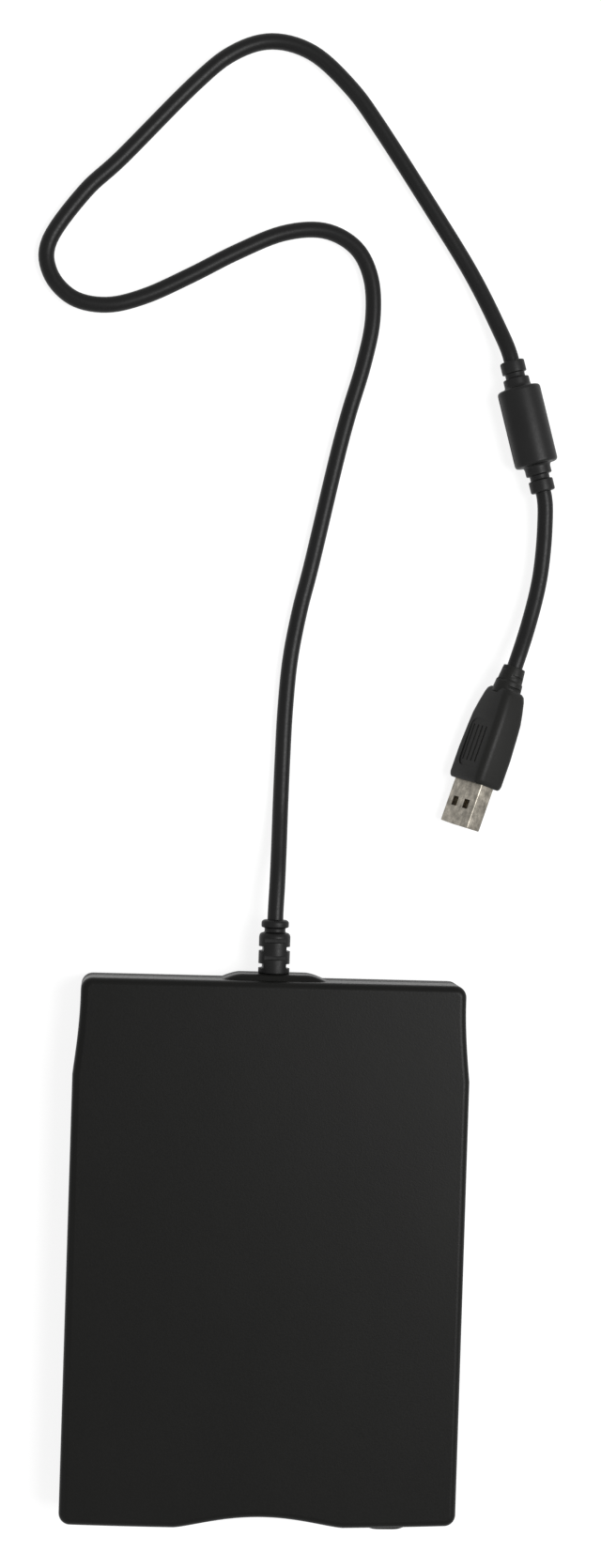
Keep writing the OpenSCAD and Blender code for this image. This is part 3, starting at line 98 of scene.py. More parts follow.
SHELL_W, SHELL_H, SHELL_T, SHELL_L = 12.0, 4.5, 0.3, 11.8
SHELL_HOLE_X, SHELL_HOLE_W, SHELL_HOLE_L = 2.5, 2.3, 2.5
BUTTON_X, BUTTON_W, BUTTON_Z, BUTTON_H = 34.3, 13.0, 4.3, 3.1
BUTTON_FRONT = -3.775
LAMP_X, LAMP_W, LAMP_Z = 31.0, 3.6, (5.0, 6.6)
CEILING, FLOOR = 15.8, 2.5
DRIVE_REAR = 61.64
SCREW_IN, SCREW_REAR = 7.1, 5.4
SCREW_HOLE_R, SCREW_HEAD_R, SCREW_HEAD_H = 1.3, 2.4, 1.7
POST_R = 2.8
BOARD_TOP, CHASSIS_TOP = 4.38, 2.79
GUIDE_X = 48.55
FOOT_X, FOOT_Y = 38, (13, CASE_L - 17)
SIDES = (-1, 1)
SPRING_X, SPRING_Z, SPRING_R = 44.0, 4.9, 0.85
SPRING_Y = (-36.25, -7.98)

MAIN_ROUTE = [
    (0.3, 97, 7.7), (0.6, 107, 5.2), (0.8, 117, 3), (1, 129, 2.1), (1.3, 142, 2.1),
    (2.2, 155.5, 2.1), (4.3, 168.5, 2.1), (7.2, 181.5, 2.1), (12.6, 208, 2.1),
    (15.6, 221, 2.1), (19.1, 234, 2.1), (21.2, 246, 2.1), (20.4, 257, 2.1),
    (16, 265, 2.1), (7.5, 269, 2.1), (-3.4, 267.7, 2.1), (-15.5, 262.1, 2.1),
    (-27.2, 255.5, 2.1), (-39, 249.5, 2.1), (-49, 246.7, 2.1), (-58, 248.2, 2.1),
    (-64, 254.5, 2.1), (-64.3, 263, 2.1), (-55.6, 276, 2.1), (-46.2, 285.5, 2.1),
    (-28, 305.5, 2.1), (-18, 314.3, 2.1), (-7.8, 318, 2.1), (3, 315.6, 2.1),
    (13.2, 307.2, 2.1), (21.4, 297, 2.1), (36.8, 275, 2.1), (47, 259.7, 2.3),
    (54.2, 246, 4),
]
TAIL_ROUTE = [(68.6, 193, 4.8), (67.8, 180, 4.6), (65.2, 168, 5.6)]


# ---------------------------------------------------------------- settings

class CameraSettings(bpy.types.PropertyGroup):
    place: bpy.props.FloatVectorProperty(
        name="Place", description="Where the camera stands", size=3, subtype="TRANSLATION",
        default=(-0.04384, 0.12743, 0.600))
    turn: bpy.props.FloatVectorProperty(
        name="Turn", description="Camera's turn about X, Y and Z", size=3, subtype="EULER",
        default=(math.radians(-0.598), math.radians(-4.748), math.radians(1.845)))
    lens: bpy.props.FloatProperty(
        name="Lens", description="Focal length over a 36 mm sensor", default=52.08, unit="CAMERA")


class StudioSettings(bpy.types.PropertyGroup):
    sky: bpy.props.FloatProperty(name="Sky", description="Light of the surroundings", default=0.4, min=0)
    key: bpy.props.FloatProperty(
        name="Key Light", description="Power of the large light at the right", default=12.5, min=0,
        unit="POWER")
    fill: bpy.props.FloatProperty(
        name="Fill Light", description="Power of the light at the left", default=0.6, min=0, unit="POWER")
    floor_white: bpy.props.FloatProperty(
        name="Floor White", description="How white the floor shows before light falls on it",
        default=0.84, min=0)


class PlasticSettings(bpy.types.PropertyGroup):
    case_colour: bpy.props.FloatVectorProperty(
        name="Case Colour", description="Colour of the moulded covers", size=3, subtype="COLOR",
        default=(0.0047, 0.0047, 0.0042), min=0, max=1)
    rubber_colour: bpy.props.FloatVectorProperty(
        name="Cord Colour", description="Colour of the cord and the parts moulded on it", size=3,
        subtype="COLOR", default=(0.0045, 0.0045, 0.0045), min=0, max=1)
    grain: bpy.props.FloatProperty(
        name="Grain Size", description="Size of the moulded grain", default=0.00042, unit="LENGTH")


class CordSettings(bpy.types.PropertyGroup):
    diameter: bpy.props.FloatProperty(
        name="Diameter", description="Thickness of the cord", default=0.0042, unit="LENGTH")
    bead_diameter: bpy.props.FloatProperty(
        name="Bead Diameter", description="Thickness of the ferrite's cover", default=0.0115, unit="LENGTH")
    bead_length: bpy.props.FloatProperty(
        name="Bead Length", description="Length of the ferrite's cover", default=0.0208, unit="LENGTH")


SETTINGS = {
    "drive_camera": CameraSettings,
    "drive_studio": StudioSettings,
    "drive_plastic": PlasticSettings,
    "drive_cord": CordSettings,
}


# ---------------------------------------------------------------- materials

class Finish:
    """Builds one node material on Object coordinates."""

    def __init__(self, name):
        self.material = bpy.data.materials.new(name)
        self.material.use_nodes = True
        self.tree = self.material.node_tree
        self.tree.nodes.clear()
        self.output = self.add("ShaderNodeOutputMaterial")
        self.shader = self.add("ShaderNodeBsdfPrincipled")
        self.link(self.shader.outputs["BSDF"], self.output.inputs["Surface"])
        self.coords = self.add("ShaderNodeTexCoord").outputs["Object"]
        self.bump_normal = None

    def add(self, kind, **values):
        node = self.tree.nodes.new(kind)
        for key, value in values.items():
            setattr(node, key, value)
        return node

    def link(self, a, b):
        self.tree.links.new(a, b)

    def put(self, **values):
        for key, value in values.items():
            self.shader.inputs[key.replace("_", " ")].default_value = value
        return self

    def mapped(self, scale=(1, 1, 1), turn=(0, 0, 0)):
        node = self.add("ShaderNodeMapping")
        node.inputs["Scale"].default_value = scale
        node.inputs["Rotation"].default_value = turn
        self.link(self.coords, node.inputs["Vector"])
        return node.outputs["Vector"]

    def noise(self, scale, detail=3.0, rough=0.5, stretch=(1, 1, 1), turn=(0, 0, 0)):
        node = self.add("ShaderNodeTexNoise")
        node.inputs["Scale"].default_value = scale
        node.inputs["Detail"].default_value = detail
        node.inputs["Roughness"].default_value = rough
        self.link(self.mapped(stretch, turn), node.inputs["Vector"])
        return node.outputs["Fac"]

    def cells(self, scale, stretch=(1, 1, 1)):
        node = self.add("ShaderNodeTexVoronoi")
        node.inputs["Scale"].default_value = scale
        self.link(self.mapped(stretch), node.inputs["Vector"])
        return node.outputs["Distance"]

    def patches(self, scale):
        """One random value for each square patch."""
        node = self.add("ShaderNodeTexVoronoi")
        node.inputs["Scale"].default_value = scale
        node.inputs["Randomness"].default_value = 0.0
        self.link(self.mapped(), node.inputs["Vector"])
        split = self.add("ShaderNodeSeparateColor")
        self.link(node.outputs["Color"], split.inputs["Color"])
        return split.outputs["Red"]

    def feed(self, socket, value):
        """Sets a socket to a number, or links it to another node's output."""
        if isinstance(value, (int, float)):
            socket.default_value = value
        else:
            self.link(value, socket)

    def compare(self, operation, value, limit):
        node = self.add("ShaderNodeMath", operation=operation)
        self.link(value, node.inputs[0])
        node.inputs[1].default_value = limit
        return node.outputs[0]

    def pick(self, chance, first, second):
        """The first value where the chance is 0, the second where it is 1."""
        node = self.add("ShaderNodeMix", data_type="FLOAT")
        self.link(chance, node.inputs["Factor"])
        self.feed(node.inputs["A"], first)
        self.feed(node.inputs["B"], second)
        return node.outputs["Result"]

    def waves(self, scale, direction, distortion=0.0):
        node = self.add("ShaderNodeTexWave", wave_type="BANDS", bands_direction=direction)
        node.inputs["Scale"].default_value = scale
        node.inputs["Distortion"].default_value = distortion
        self.link(self.mapped(), node.inputs["Vector"])
        return node.outputs["Fac"]

    def ramp(self, value, stops):
        node = self.add("ShaderNodeValToRGB")
        while len(node.color_ramp.elements) < len(stops):
            node.color_ramp.elements.new(0.5)
        for element, (place, colour) in zip(node.color_ramp.elements, stops):
            element.position = place
            element.color = (*colour, 1)
        self.link(value, node.inputs["Fac"])
        return node.outputs["Color"]

    def span(self, value, low, high, start=0.0, end=1.0):
        node = self.add("ShaderNodeMapRange")
        node.inputs["From Min"].default_value = start
        node.inputs["From Max"].default_value = end
        node.inputs["To Min"].default_value = low
        node.inputs["To Max"].default_value = high
        self.link(value, node.inputs["Value"])
        return node.outputs["Result"]

    def colour(self, value, low, high, a=0.3, b=0.7):
        self.link(self.ramp(value, [(a, low), (b, high)]), self.shader.inputs["Base Color"])
        return self

    def rough(self, value, low, high):
        self.link(self.span(value, low, high, 0.3, 0.7), self.shader.inputs["Roughness"])
        return self

    def bump(self, value, depth_mm, strength=1.0):
        node = self.add("ShaderNodeBump")
        node.inputs["Strength"].default_value = strength
        node.inputs["Distance"].default_value = depth_mm * MM
        self.link(value, node.inputs["Height"])
        if self.bump_normal is not None:
            self.link(self.bump_normal, node.inputs["Normal"])
        self.bump_normal = node.outputs["Normal"]
        self.link(self.bump_normal, self.shader.inputs["Normal"])
        return self


def scaled(colour, by):
    return tuple(min(1.0, c * by) for c in colour)


def moulded_plastic(name, colour, rough=0.5, grain_mm=0.42, depth=0.03, specular=0.3, mottle=0.12):
    """Moulded plastic with a fine grain, faint flow marks and slightly uneven gloss."""
    f = Finish(name).put(Specular_IOR_Level=specular)
    flow = f.noise(38, 4, 0.6, stretch=(1, 0.6, 1))
    f.colour(flow, scaled(colour, 1 - mottle), scaled(colour, 1 + mottle))
    grain = f.noise(1000 / grain_mm, 2, 0.6)
    f.rough(grain, rough - 0.05, rough + 0.06)
    f.bump(grain, depth)
    f.bump(f.noise(160, 3), 0.04, 0.5)
    return f.material


def soft_pvc(name, colour, rough=0.42, specular=0.35):
    """Extruded or overmoulded soft plastic: smooth, with long faint drawing marks."""
    f = Finish(name).put(Specular_IOR_Level=specular)
    f.colour(f.noise(90, 3), scaled(colour, 0.86), scaled(colour, 1.16))
    fine = f.noise(1700, 3, 0.6)
    f.rough(fine, rough - 0.06, rough + 0.07)
    f.bump(fine, 0.012)
    f.bump(f.noise(420, 2, 0.5), 0.03, 0.6)
    return f.material


def sheet_steel(name, colour, rough, along, spangle=False):
    """Coated or brushed steel sheet with rolling marks along one way."""
    f = Finish(name).put(Metallic=1.0)
    stretch = {"X": (0.04, 1, 1), "Y": (1, 0.04, 1), "Z": (1, 1, 0.04)}[along]
    rolled = f.noise(2600, 3, 0.6, stretch=stretch)
    tone = f.cells(240) if spangle else f.noise(70, 4, 0.6)
    f.colour(tone, scaled(colour, 0.86), scaled(colour, 1.08), 0.2, 0.8)
    f.rough(rolled, rough - 0.07, rough + 0.1)
    f.bump(rolled, 0.006)
    return f.material


def nickel_plate(name, colour, rough=0.3):
    """Thin nickel over rolled sheet: cloudy, scuffed along the plug, with rubbed spots."""
    f = Finish(name).put(Metallic=1.0)
    cloud = f.noise(520, 5, 0.65)
    f.link(f.ramp(cloud, [(0.3, scaled(colour, 0.6)), (0.5, colour), (0.72, scaled(colour, 1.7))]),
           f.shader.inputs["Base Color"])
    scuffs = f.noise(2300, 3, 0.6, stretch=(1, 0.12, 1), turn=(0, 0, math.radians(17)))
    f.rough(scuffs, rough - 0.08, rough + 0.14)
    f.bump(scuffs, 0.008)
    f.bump(f.noise(700, 2), 0.02, 0.5)
    return f.material


def turned_metal(name, colour, rough=0.22):
    """Ground or turned metal with fine tool marks and a little tarnish."""
    f = Finish(name).put(Metallic=1.0)
    f.colour(f.noise(140, 4), scaled(colour, 0.82), scaled(colour, 1.1))
    marks = f.noise(3800, 2, 0.6)
    f.rough(marks, rough - 0.06, rough + 0.1)
    f.bump(marks, 0.004)
    return f.material


def circuit_board(name):
    """Green solder mask over bundles of copper tracks and poured copper, with small tinned holes."""
    f = Finish(name).put(Specular_IOR_Level=0.5)
    chance = f.patches(190)
    tracks = f.pick(f.compare("GREATER_THAN", chance, 0.38), f.waves(430, "X"), f.waves(430, "Y"))
    copper = f.pick(f.compare("GREATER_THAN", chance, 0.72), tracks, 0.8)
    board = f.ramp(copper, [(0.46, (0.010, 0.062, 0.030)), (0.56, (0.020, 0.125, 0.058))])
    holes = f.cells(330, stretch=(1, 1, 0.01))
    mix = f.add("ShaderNodeMix", data_type="RGBA")
    f.link(f.compare("LESS_THAN", holes, 0.1), mix.inputs["Factor"])
    f.link(board, mix.inputs["A"])
    mix.inputs["B"].default_value = (0.55, 0.54, 0.5, 1)
    f.link(mix.outputs["Result"], f.shader.inputs["Base Color"])
    f.rough(f.noise(900, 2), 0.24, 0.4)
    f.bump(f.span(copper, 0, 1, 0.46, 0.56), 0.03)
    return f.material


def wound_wire(name, colour):
    """Enamelled wire laid side by side."""
    f = Finish(name).put(Metallic=0.8)
    f.colour(f.noise(300, 3), scaled(colour, 0.7), scaled(colour, 1.2))
    f.rough(f.noise(1500, 2), 0.25, 0.42)
    f.bump(f.waves(900, "Z", 0.4), 0.05)
    return f.material


def clear_plastic(name, colour):
    """Light pipe: clear, faintly tinted."""
    f = Finish(name).put(Transmission_Weight=0.85, IOR=1.49, Specular_IOR_Level=0.5)
    f.colour(f.noise(200, 2), scaled(colour, 0.94), scaled(colour, 1.04))
    f.rough(f.noise(1200, 2), 0.12, 0.24)
    return f.material


MATERIALS = {}


def make_materials():
    p = bpy.context.scene.drive_plastic
    case = tuple(p.case_colour)
    cord = tuple(p.rubber_colour)
    grain = p.grain / MM
    m = MATERIALS
    m["black_case"] = moulded_plastic("case_top_plastic", case, 0.36, grain, 0.02, 0.1)
    m["black_case_low"] = moulded_plastic("case_base_plastic", scaled(case, 0.95), 0.5, grain, 0.04, 0.12)
    fine = grain * 0.8
    m["black_panel"] = moulded_plastic("front_panel_plastic", scaled(case, 0.9), 0.44, fine, 0.02, 0.16)
    m["button_black"] = moulded_plastic("button_plastic", scaled(case, 1.05), 0.4, fine, 0.015, 0.16)
    m["door_black"] = moulded_plastic("door_plastic", scaled(case, 0.85), 0.45, fine, 0.015, 0.16)
    m["grip_black"] = moulded_plastic("plug_grip_plastic", scaled(case, 1.4), 0.46, grain * 0.9, 0.03, 0.16)
    m["feet_rubber"] = soft_pvc("foot_rubber", scaled(cord, 1.3), 0.75, 0.2)
    m["boot_rubber"] = soft_pvc("strain_relief_rubber", scaled(cord, 1.05), 0.44, 0.16)
    m["cord_pvc"] = soft_pvc("cord_sheath", cord, 0.38, 0.16)
    m["bead_black"] = soft_pvc("bead_cover_plastic", scaled(cord, 1.35), 0.42, 0.18)
    m["wire_red"] = soft_pvc("wire_insulation", (0.3, 0.04, 0.03), 0.4, 0.5)
    m["steel_screw"] = turned_metal("screw_steel", (0.42, 0.42, 0.43), 0.3)
    m["lamp_window"] = clear_plastic("lamp_light_pipe", (0.75, 0.9, 0.72))
    m["lamp"] = moulded_plastic("lamp_lens", (0.6, 0.72, 0.5), 0.25, 0.3, 0.005, 0.5, 0.05)
    m["board_green"] = circuit_board("solder_mask")
    m["chip_black"] = moulded_plastic("chip_epoxy", (0.014, 0.014, 0.016), 0.55, 0.12, 0.01, 0.4)
    m["flat_cable"] = moulded_plastic("flat_cable_film", (0.5, 0.46, 0.34), 0.3, 0.5, 0.006, 0.5, 0.06)
    m["zinc_steel"] = sheet_steel("chassis_zinc_steel", (0.52, 0.53, 0.54), 0.36, "Y", True)
    m["zinc_steel_lid"] = sheet_steel("lid_zinc_steel", (0.56, 0.57, 0.58), 0.34, "X", True)
    m["switch_black"] = moulded_plastic("switch_body", (0.016, 0.016, 0.016), 0.45, 0.2, 0.01, 0.4)
    m["brass_bush"] = turned_metal("sintered_bronze", (0.5, 0.36, 0.14), 0.42)
    m["lamination"] = sheet_steel("stator_lamination", (0.32, 0.33, 0.36), 0.45, "X")
    m["copper_wire"] = wound_wire("coil_copper", (0.52, 0.2, 0.08))
    m["magnet"] = moulded_plastic("bonded_magnet", (0.05, 0.05, 0.055), 0.6, 0.2, 0.02, 0.4)
    m["ground_steel"] = turned_metal("ground_shaft_steel", (0.62, 0.62, 0.64), 0.16)
    m["hub_grey"] = turned_metal("hub_steel", (0.3, 0.3, 0.32), 0.38)
    m["motor_can"] = sheet_steel("stepper_can_steel", (0.46, 0.47, 0.49), 0.3, "Y")
    m["carriage_plastic"] = moulded_plastic("carriage_resin", (0.04, 0.04, 0.045), 0.5, 0.25, 0.02, 0.4)
    m["head_black"] = moulded_plastic("head_ceramic", (0.02, 0.02, 0.024), 0.2, 0.2, 0.003, 0.6)
    m["arm_steel"] = sheet_steel("arm_stamped_steel", (0.55, 0.55, 0.57), 0.32, "Y")
    m["spring_steel"] = turned_metal("spring_wire", (0.5, 0.5, 0.52), 0.24)
    m["cage_steel"] = sheet_steel("cage_stamped_steel", (0.55, 0.56, 0.57), 0.36, "Y")
    m["slide_steel"] = sheet_steel("slide_stamped_steel", (0.5, 0.51, 0.52), 0.38, "Y")
    m["ferrite"] = moulded_plastic("sintered_ferrite", (0.05, 0.05, 0.055), 0.5, 0.15, 0.02, 0.4)
    # the shell's colour is darker than bare nickel: painted shade standing in for the dark surroundings that
    # nickel would reflect
    m["shell_steel"] = nickel_plate("plug_shell_nickel", (0.23, 0.212, 0.18), 0.3)
    m["tongue_white"] = moulded_plastic("tongue_resin", (0.72, 0.71, 0.66), 0.4, 0.3, 0.008, 0.5, 0.05)
    m["contact_gold"] = turned_metal("contact_gilding", (0.83, 0.6, 0.22), 0.2)
    slots = {s["node"]: s["material_slot"] for s in frame["record"]["subparts"]}
    for node, thing in frame["nodes"].items():
        thing.data.materials.clear()
        thing.data.materials.append(m[slots[node]])


# ---------------------------------------------------------------- modelling

def to_mesh(bm, name):
    """A mesh from a bmesh, which is freed."""
    mesh = bpy.data.meshes.new(name)
    bm.to_mesh(mesh)
    bm.free()
    return mesh


def smooth(mesh, sharp):
    """Smooth shading, with edges over an angle in degrees kept sharp."""
    mesh.shade_smooth()
    mesh.set_sharp_from_angle(angle=math.radians(sharp))


def take_in(bm, part):
    """Adds one bmesh to another."""
    mesh = to_mesh(part, "part")
    bm.from_mesh(mesh)
    bpy.data.meshes.remove(mesh)


def new_verts(made):
    """The vertices among what an operator made."""
    return [v for v in made["geom"] if isinstance(v, bmesh.types.BMVert)]


def drawn(bm, edges):
    """Extrudes edges and gives the new vertices, which still lie on the old ones."""
    return new_verts(bmesh.ops.extrude_edge_only(bm, edges=edges))


def open_edges(bm):
    return [e for e in bm.edges if e.is_boundary]


def reach(side, near, far):
    """The range between two distances from the middle, on one side of it."""
    return sorted((side * near, side * far))


def finish_piece(name, bm, slot, body="housing", nodes=(), sharp=32, place=None, weld=True):
    """Makes an object in metres from a bmesh in millimetres, rides it and hides the nodes it stands for."""
    if place is not None:
        bmesh.ops.transform(bm, matrix=place, verts=bm.verts)
    if weld:
        bmesh.ops.remove_doubles(bm, verts=bm.verts, dist=0.002)
    bmesh.ops.recalc_face_normals(bm, faces=bm.faces)
    bmesh.ops.scale(bm, vec=(MM, MM, MM), verts=bm.verts)
    mesh = to_mesh(bm, name)
    smooth(mesh, sharp)
    thing = bpy.data.objects.new(name, mesh)
    bpy.context.scene.collection.objects.link(thing)
    mesh.materials.append(MATERIALS[slot])
    if body:
        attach(thing, body)
    if nodes:
        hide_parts(*nodes)
    return thing


def bevel_edges(bm, edges, offset, segments):
    return bmesh.ops.bevel(
        bm, geom=list(edges), offset=offset, segments=segments, affect="EDGES", profile=0.5,
        material=-1, clamp_overlap=True)


def add_modifier(thing, kind, **values):
    modifier = thing.modifiers.new(kind.title(), kind)
    for key, value in values.items():
        setattr(modifier, key, value)
    return modifier


def keep_result(thing):
    """Puts the result of the modifiers in the mesh."""
    depsgraph = bpy.context.evaluated_depsgraph_get()
    mesh = bpy.data.meshes.new_from_object(thing.evaluated_get(depsgraph))
    old = thing.data
    thing.modifiers.clear()
    thing.data = mesh
    mesh.name = old.name
    bpy.data.meshes.remove(old)
    return thing


def cut_by(thing, cutter_bm, sharp):
    """Cuts a piece with a bmesh in millimetres."""
    bmesh.ops.recalc_face_normals(cutter_bm, faces=cutter_bm.faces)
    bmesh.ops.scale(cutter_bm, vec=(MM, MM, MM), verts=cutter_bm.verts)
    mesh = to_mesh(cutter_bm, "cutter")
    cutter = bpy.data.objects.new("cutter", mesh)
    bpy.context.scene.collection.objects.link(cutter)
    add_modifier(thing, "BOOLEAN", object=cutter, operation="DIFFERENCE", solver="EXACT")
    keep_result(thing)
    bpy.data.objects.remove(cutter)
    bpy.data.meshes.remove(mesh)
    smooth(thing.data, sharp)
    return thing


def add_box(bm, x, y, z, bevel=0.0, segments=2):
    """A box between ranges, in a bmesh."""
    made = bmesh.ops.create_cube(bm, size=1.0)["verts"]
    bmesh.ops.scale(bm, vec=(x[1] - x[0], y[1] - y[0], z[1] - z[0]), verts=made)
    bmesh.ops.translate(
        bm, vec=((x[0] + x[1]) / 2, (y[0] + y[1]) / 2, (z[0] + z[1]) / 2), verts=made)
    if bevel:
        edges = {e for v in made for e in v.link_edges}
        bevel_edges(bm, edges, bevel, segments)
    return made


def add_rod(bm, radius, length, segments):
    """A rod along Z with its middle at the origin, in a bmesh."""
    return bmesh.ops.create_cone(
        bm, cap_ends=True, segments=segments, radius1=radius, radius2=radius, depth=length)["verts"]


def bow(x):
    return -FRONT_BOW * max(0.0, 1 - (x / (CASE_W / 2 - CORNER_R)) ** 2)


def scoop(x):
    return SCOOP_D * max(0.0, 1 - (2 * x / SCOOP_W) ** 2) ** 1.4


def front_line(x):
    return Y_FRONT + bow(x) + scoop(x)


def half_outline():
    """Right half of the case seen from above, from the front's middle to the rear."""
    points = [(x, front_line(x)) for x in [SCOOP_W / 2 * i / 22 for i in range(23)]]
    flat = (CASE_W - SCOOP_W) / 2 - CORNER_R
    points += [(SCOOP_W / 2 + flat * i / 9, front_line(SCOOP_W / 2 + flat * i / 9)) for i in range(1, 9)]
    for i in range(11):
        a = math.radians(-90 + 9 * i)
        points.append((CASE_W / 2 - CORNER_R + CORNER_R * math.cos(a),
                       Y_FRONT + CORNER_R + CORNER_R * math.sin(a)))
    for i in range(13):
        t = i / 12
        points.append((CASE_W / 2 - TAPER_D * math.sin(math.radians(90 * t)),
                       Y_REAR - TAPER_L + (TAPER_L - CORNER_R - 1) * t))
    for i in range(11):
        a = math.radians(9 * i)
        points.append((CASE_W / 2 - TAPER_D - CORNER_R + CORNER_R * math.cos(a),
                       Y_REAR - CORNER_R + CORNER_R * math.sin(a)))
    return points


def outline():
    half = half_outline()
    return half + [(-x, y) for x, y in reversed(half[1:])]


def cover_shell(name, side, slot, node):
    """One cover: its wall drawn up from the seam, its rim rounded, its front opened."""
    bm = bmesh.new()
    start = SEAM_Z + side * SEAM_GROOVE
    end = CASE_H if side > 0 else FOOT_H
    ring = [bm.verts.new((x, y, start)) for x, y in outline()]
    base = bm.faces.new(ring)
    top = new_verts(bmesh.ops.extrude_face_region(bm, geom=[base]))
    bmesh.ops.translate(bm, vec=(0, 0, end - start), verts=top)
    flat = [f for f in bm.faces if all(abs(v.co.z - start) < 1e-6 for v in f.verts)]
    bmesh.ops.delete(bm, geom=flat, context="FACES_ONLY")
    rim = [e for e in bm.edges if all(abs(v.co.z - end) < 1e-6 for v in e.verts)]
    bevel_edges(bm, rim, EDGE_R, 8)
    # the narrow step of the parting line
    half_w, half_l = CASE_W / 2 - 5.5, CASE_L / 2 - 4.5
    for v in drawn(bm, open_edges(bm)):
        v.co.x -= SEAM_GROOVE * v.co.x / half_w
        v.co.y -= SEAM_GROOVE * max(-1.0, min(1.0, (v.co.y - Y_FRONT - CASE_L / 2) / half_l))
        v.co.z = SEAM_Z + side * 0.02
    # opening of the front wall
    height = OPEN_Z[1] if side > 0 else OPEN_Z[0]
    planes = (((OPEN_X, 0, 0), (1, 0, 0)), ((-OPEN_X, 0, 0), (1, 0, 0)), ((0, 0, height), (0, 0, 1)))
    wall_end = Y_FRONT + FRONT_DEPTH
    for co, normal in planes:
        near = [f for f in bm.faces if f.calc_center_median().y < wall_end and abs(f.normal.z) < 0.9]
        parts = set(near) | {e for f in near for e in f.edges} | {v for f in near for v in f.verts}
        bmesh.ops.bisect_plane(bm, geom=list(parts), dist=1e-4, plane_co=co, plane_no=normal)
    gone = []
    for f in bm.faces:
        c = f.calc_center_median()
        if abs(c.x) < OPEN_X and c.y < wall_end and (c.z - height) * side < 0 and abs(f.normal.z) < 0.95:
            gone.append(f)
    bmesh.ops.delete(bm, geom=gone, context="FACES")
    thing = finish_piece(name, bm, slot, nodes=(node,), sharp=30)
    add_modifier(thing, "SOLIDIFY", thickness=WALL * MM, offset=-1, use_even_offset=True)
    add_modifier(thing, "BEVEL", width=0.12 * MM, segments=2, limit_method="ANGLE",
                 angle_limit=math.radians(50), harden_normals=False)
    add_modifier(thing, "WEIGHTED_NORMAL", keep_sharp=True, weight=60)
    return thing


def case_screw_places():
    return [(side * (CASE_W / 2 - SCREW_IN), Y_REAR - SCREW_REAR) for side in SIDES]


def screw_wells(base):
    """Counterbored holes for the case screws in the underside."""
    wells = bmesh.new()
    below = -1.0
    for x, y in case_screw_places():
        for radius, high in ((SCREW_HEAD_R, FOOT_H + SCREW_HEAD_H), (SCREW_HOLE_R, SEAM_Z)):
            made = add_rod(wells, radius, high - below, 40)
            bmesh.ops.translate(wells, vec=(x, y, (below + high) / 2), verts=made)
    return cut_by(base, wells, 30)


def bulge(name, side, slot):
    """Half of the soft swelling round the cord's exit."""
    bm = bmesh.new()
    bmesh.ops.create_grid(bm, x_segments=32, y_segments=8, size=1.0)
    wide = BULGE_W / 2 + BULGE_FADE
    flat = BULGE_W / 2 / wide
    clear, sunk = 0.1, 0.3
    for v in bm.verts:
        across, up = v.co.x, (v.co.y + 1) / 2
        side_fall = 1 - max(0.0, (abs(across) - flat) / (1 - flat)) ** 1.5
        end_fall = 1 - max(0.0, (up - 0.72) / 0.28) ** 2.2
        v.co.x = across * wide * (1 - 0.04 * up)
        v.co.y = Y_REAR - sunk + (BULGE_D + sunk) * side_fall * end_fall
        v.co.z = SEAM_Z + side * (clear + (BULGE_H - clear) * up)
    for v in drawn(bm, open_edges(bm)):
        v.co.y = Y_REAR - 2 * sunk
    bmesh.ops.contextual_create(bm, geom=open_edges(bm))
    thing = finish_piece(name, bm, slot, sharp=40)
    hole = bmesh.new()
    made = add_rod(hole, BULGE_HOLE_R, 8, 48)
    bmesh.ops.rotate(hole, cent=(0, 0, 0), matrix=Matrix.Rotation(math.pi / 2, 3, "X"), verts=made)
    bmesh.ops.translate(hole, vec=(0, Y_REAR + 1, SEAM_Z), verts=made)
    return cut_by(thing, hole, 40)


def spin_profile(bm, profile, steps=64):
    """Turns points (radius, height) about Z."""
    verts = [bm.verts.new((r, 0, z)) for r, z in profile]
    edges = [bm.edges.new((a, b)) for a, b in zip(verts, verts[1:])]
    bmesh.ops.spin(bm, geom=verts + edges, cent=(0, 0, 0), axis=(0, 0, 1), angle=2 * math.pi,
                   steps=steps, use_merge=True)
    bmesh.ops.remove_doubles(bm, verts=bm.verts, dist=1e-4)


def rounded(profile, radius, steps=4):
    """Rounds the inner corners of an open profile."""
    out = [profile[0]]
    for a, b, c in zip(profile, profile[1:], profile[2:]):
        a, b, c = Vector(a), Vector(b), Vector(c)
        r = min(radius, 0.45 * (a - b).length, 0.45 * (c - b).length)
        p, q = b + (a - b).normalized() * r, b + (c - b).normalized() * r
        for i in range(steps + 1):
            t = i / steps
            out.append(tuple((1 - t) ** 2 * p + 2 * t * (1 - t) * b + t * t * q))
    out.append(profile[-1])
    return out


def sleeve_slot(bm, side, sideways, z, core):
    """One slot of a sleeve along Z, from its core outwards."""
    across, out = (-6, 6), reach(side, core, 9)
    x, y = (out, across) if sideways else (across, out)
    add_box(bm, x, y, z, 0.12)


def strain_relief():
    """Slotted sleeve round the cord at the case's rear, with its end ring."""
    face = Y_REAR + BULGE_D
    tip = BOOT_TIP - face
    profile = rounded([
        (0.5, -3), (3.2, -3), (3.2, 0), (4.1, 0.01), (4.1, 0.7 * tip), (3.75, 0.75 * tip),
        (2.75, 0.77 * tip), (2.75, 0.85 * tip), (3.6, 0.86 * tip), (3.6, tip - 0.5), (3.0, tip),
        (CORD_R - 0.1, tip)], 0.35)
    bm = bmesh.new()
    spin_profile(bm, profile)
    place = Matrix.Translation((0, face, SEAM_Z)) @ Matrix.Rotation(-math.pi / 2, 4, "X")
    thing = finish_piece("strain_relief", bm, "boot_rubber", nodes=("cable_boot",), place=place, sharp=40)
    slots = bmesh.new()
    for i in range(4):
        start = (0.1 + 0.16 * i) * tip
        for side in SIDES:
            sleeve_slot(slots, side, i % 2 == 0, (start, start + 1.2), CORD_R + 0.9)
    bmesh.ops.transform(slots, matrix=place, verts=slots.verts)
    return cut_by(thing, slots, 40)


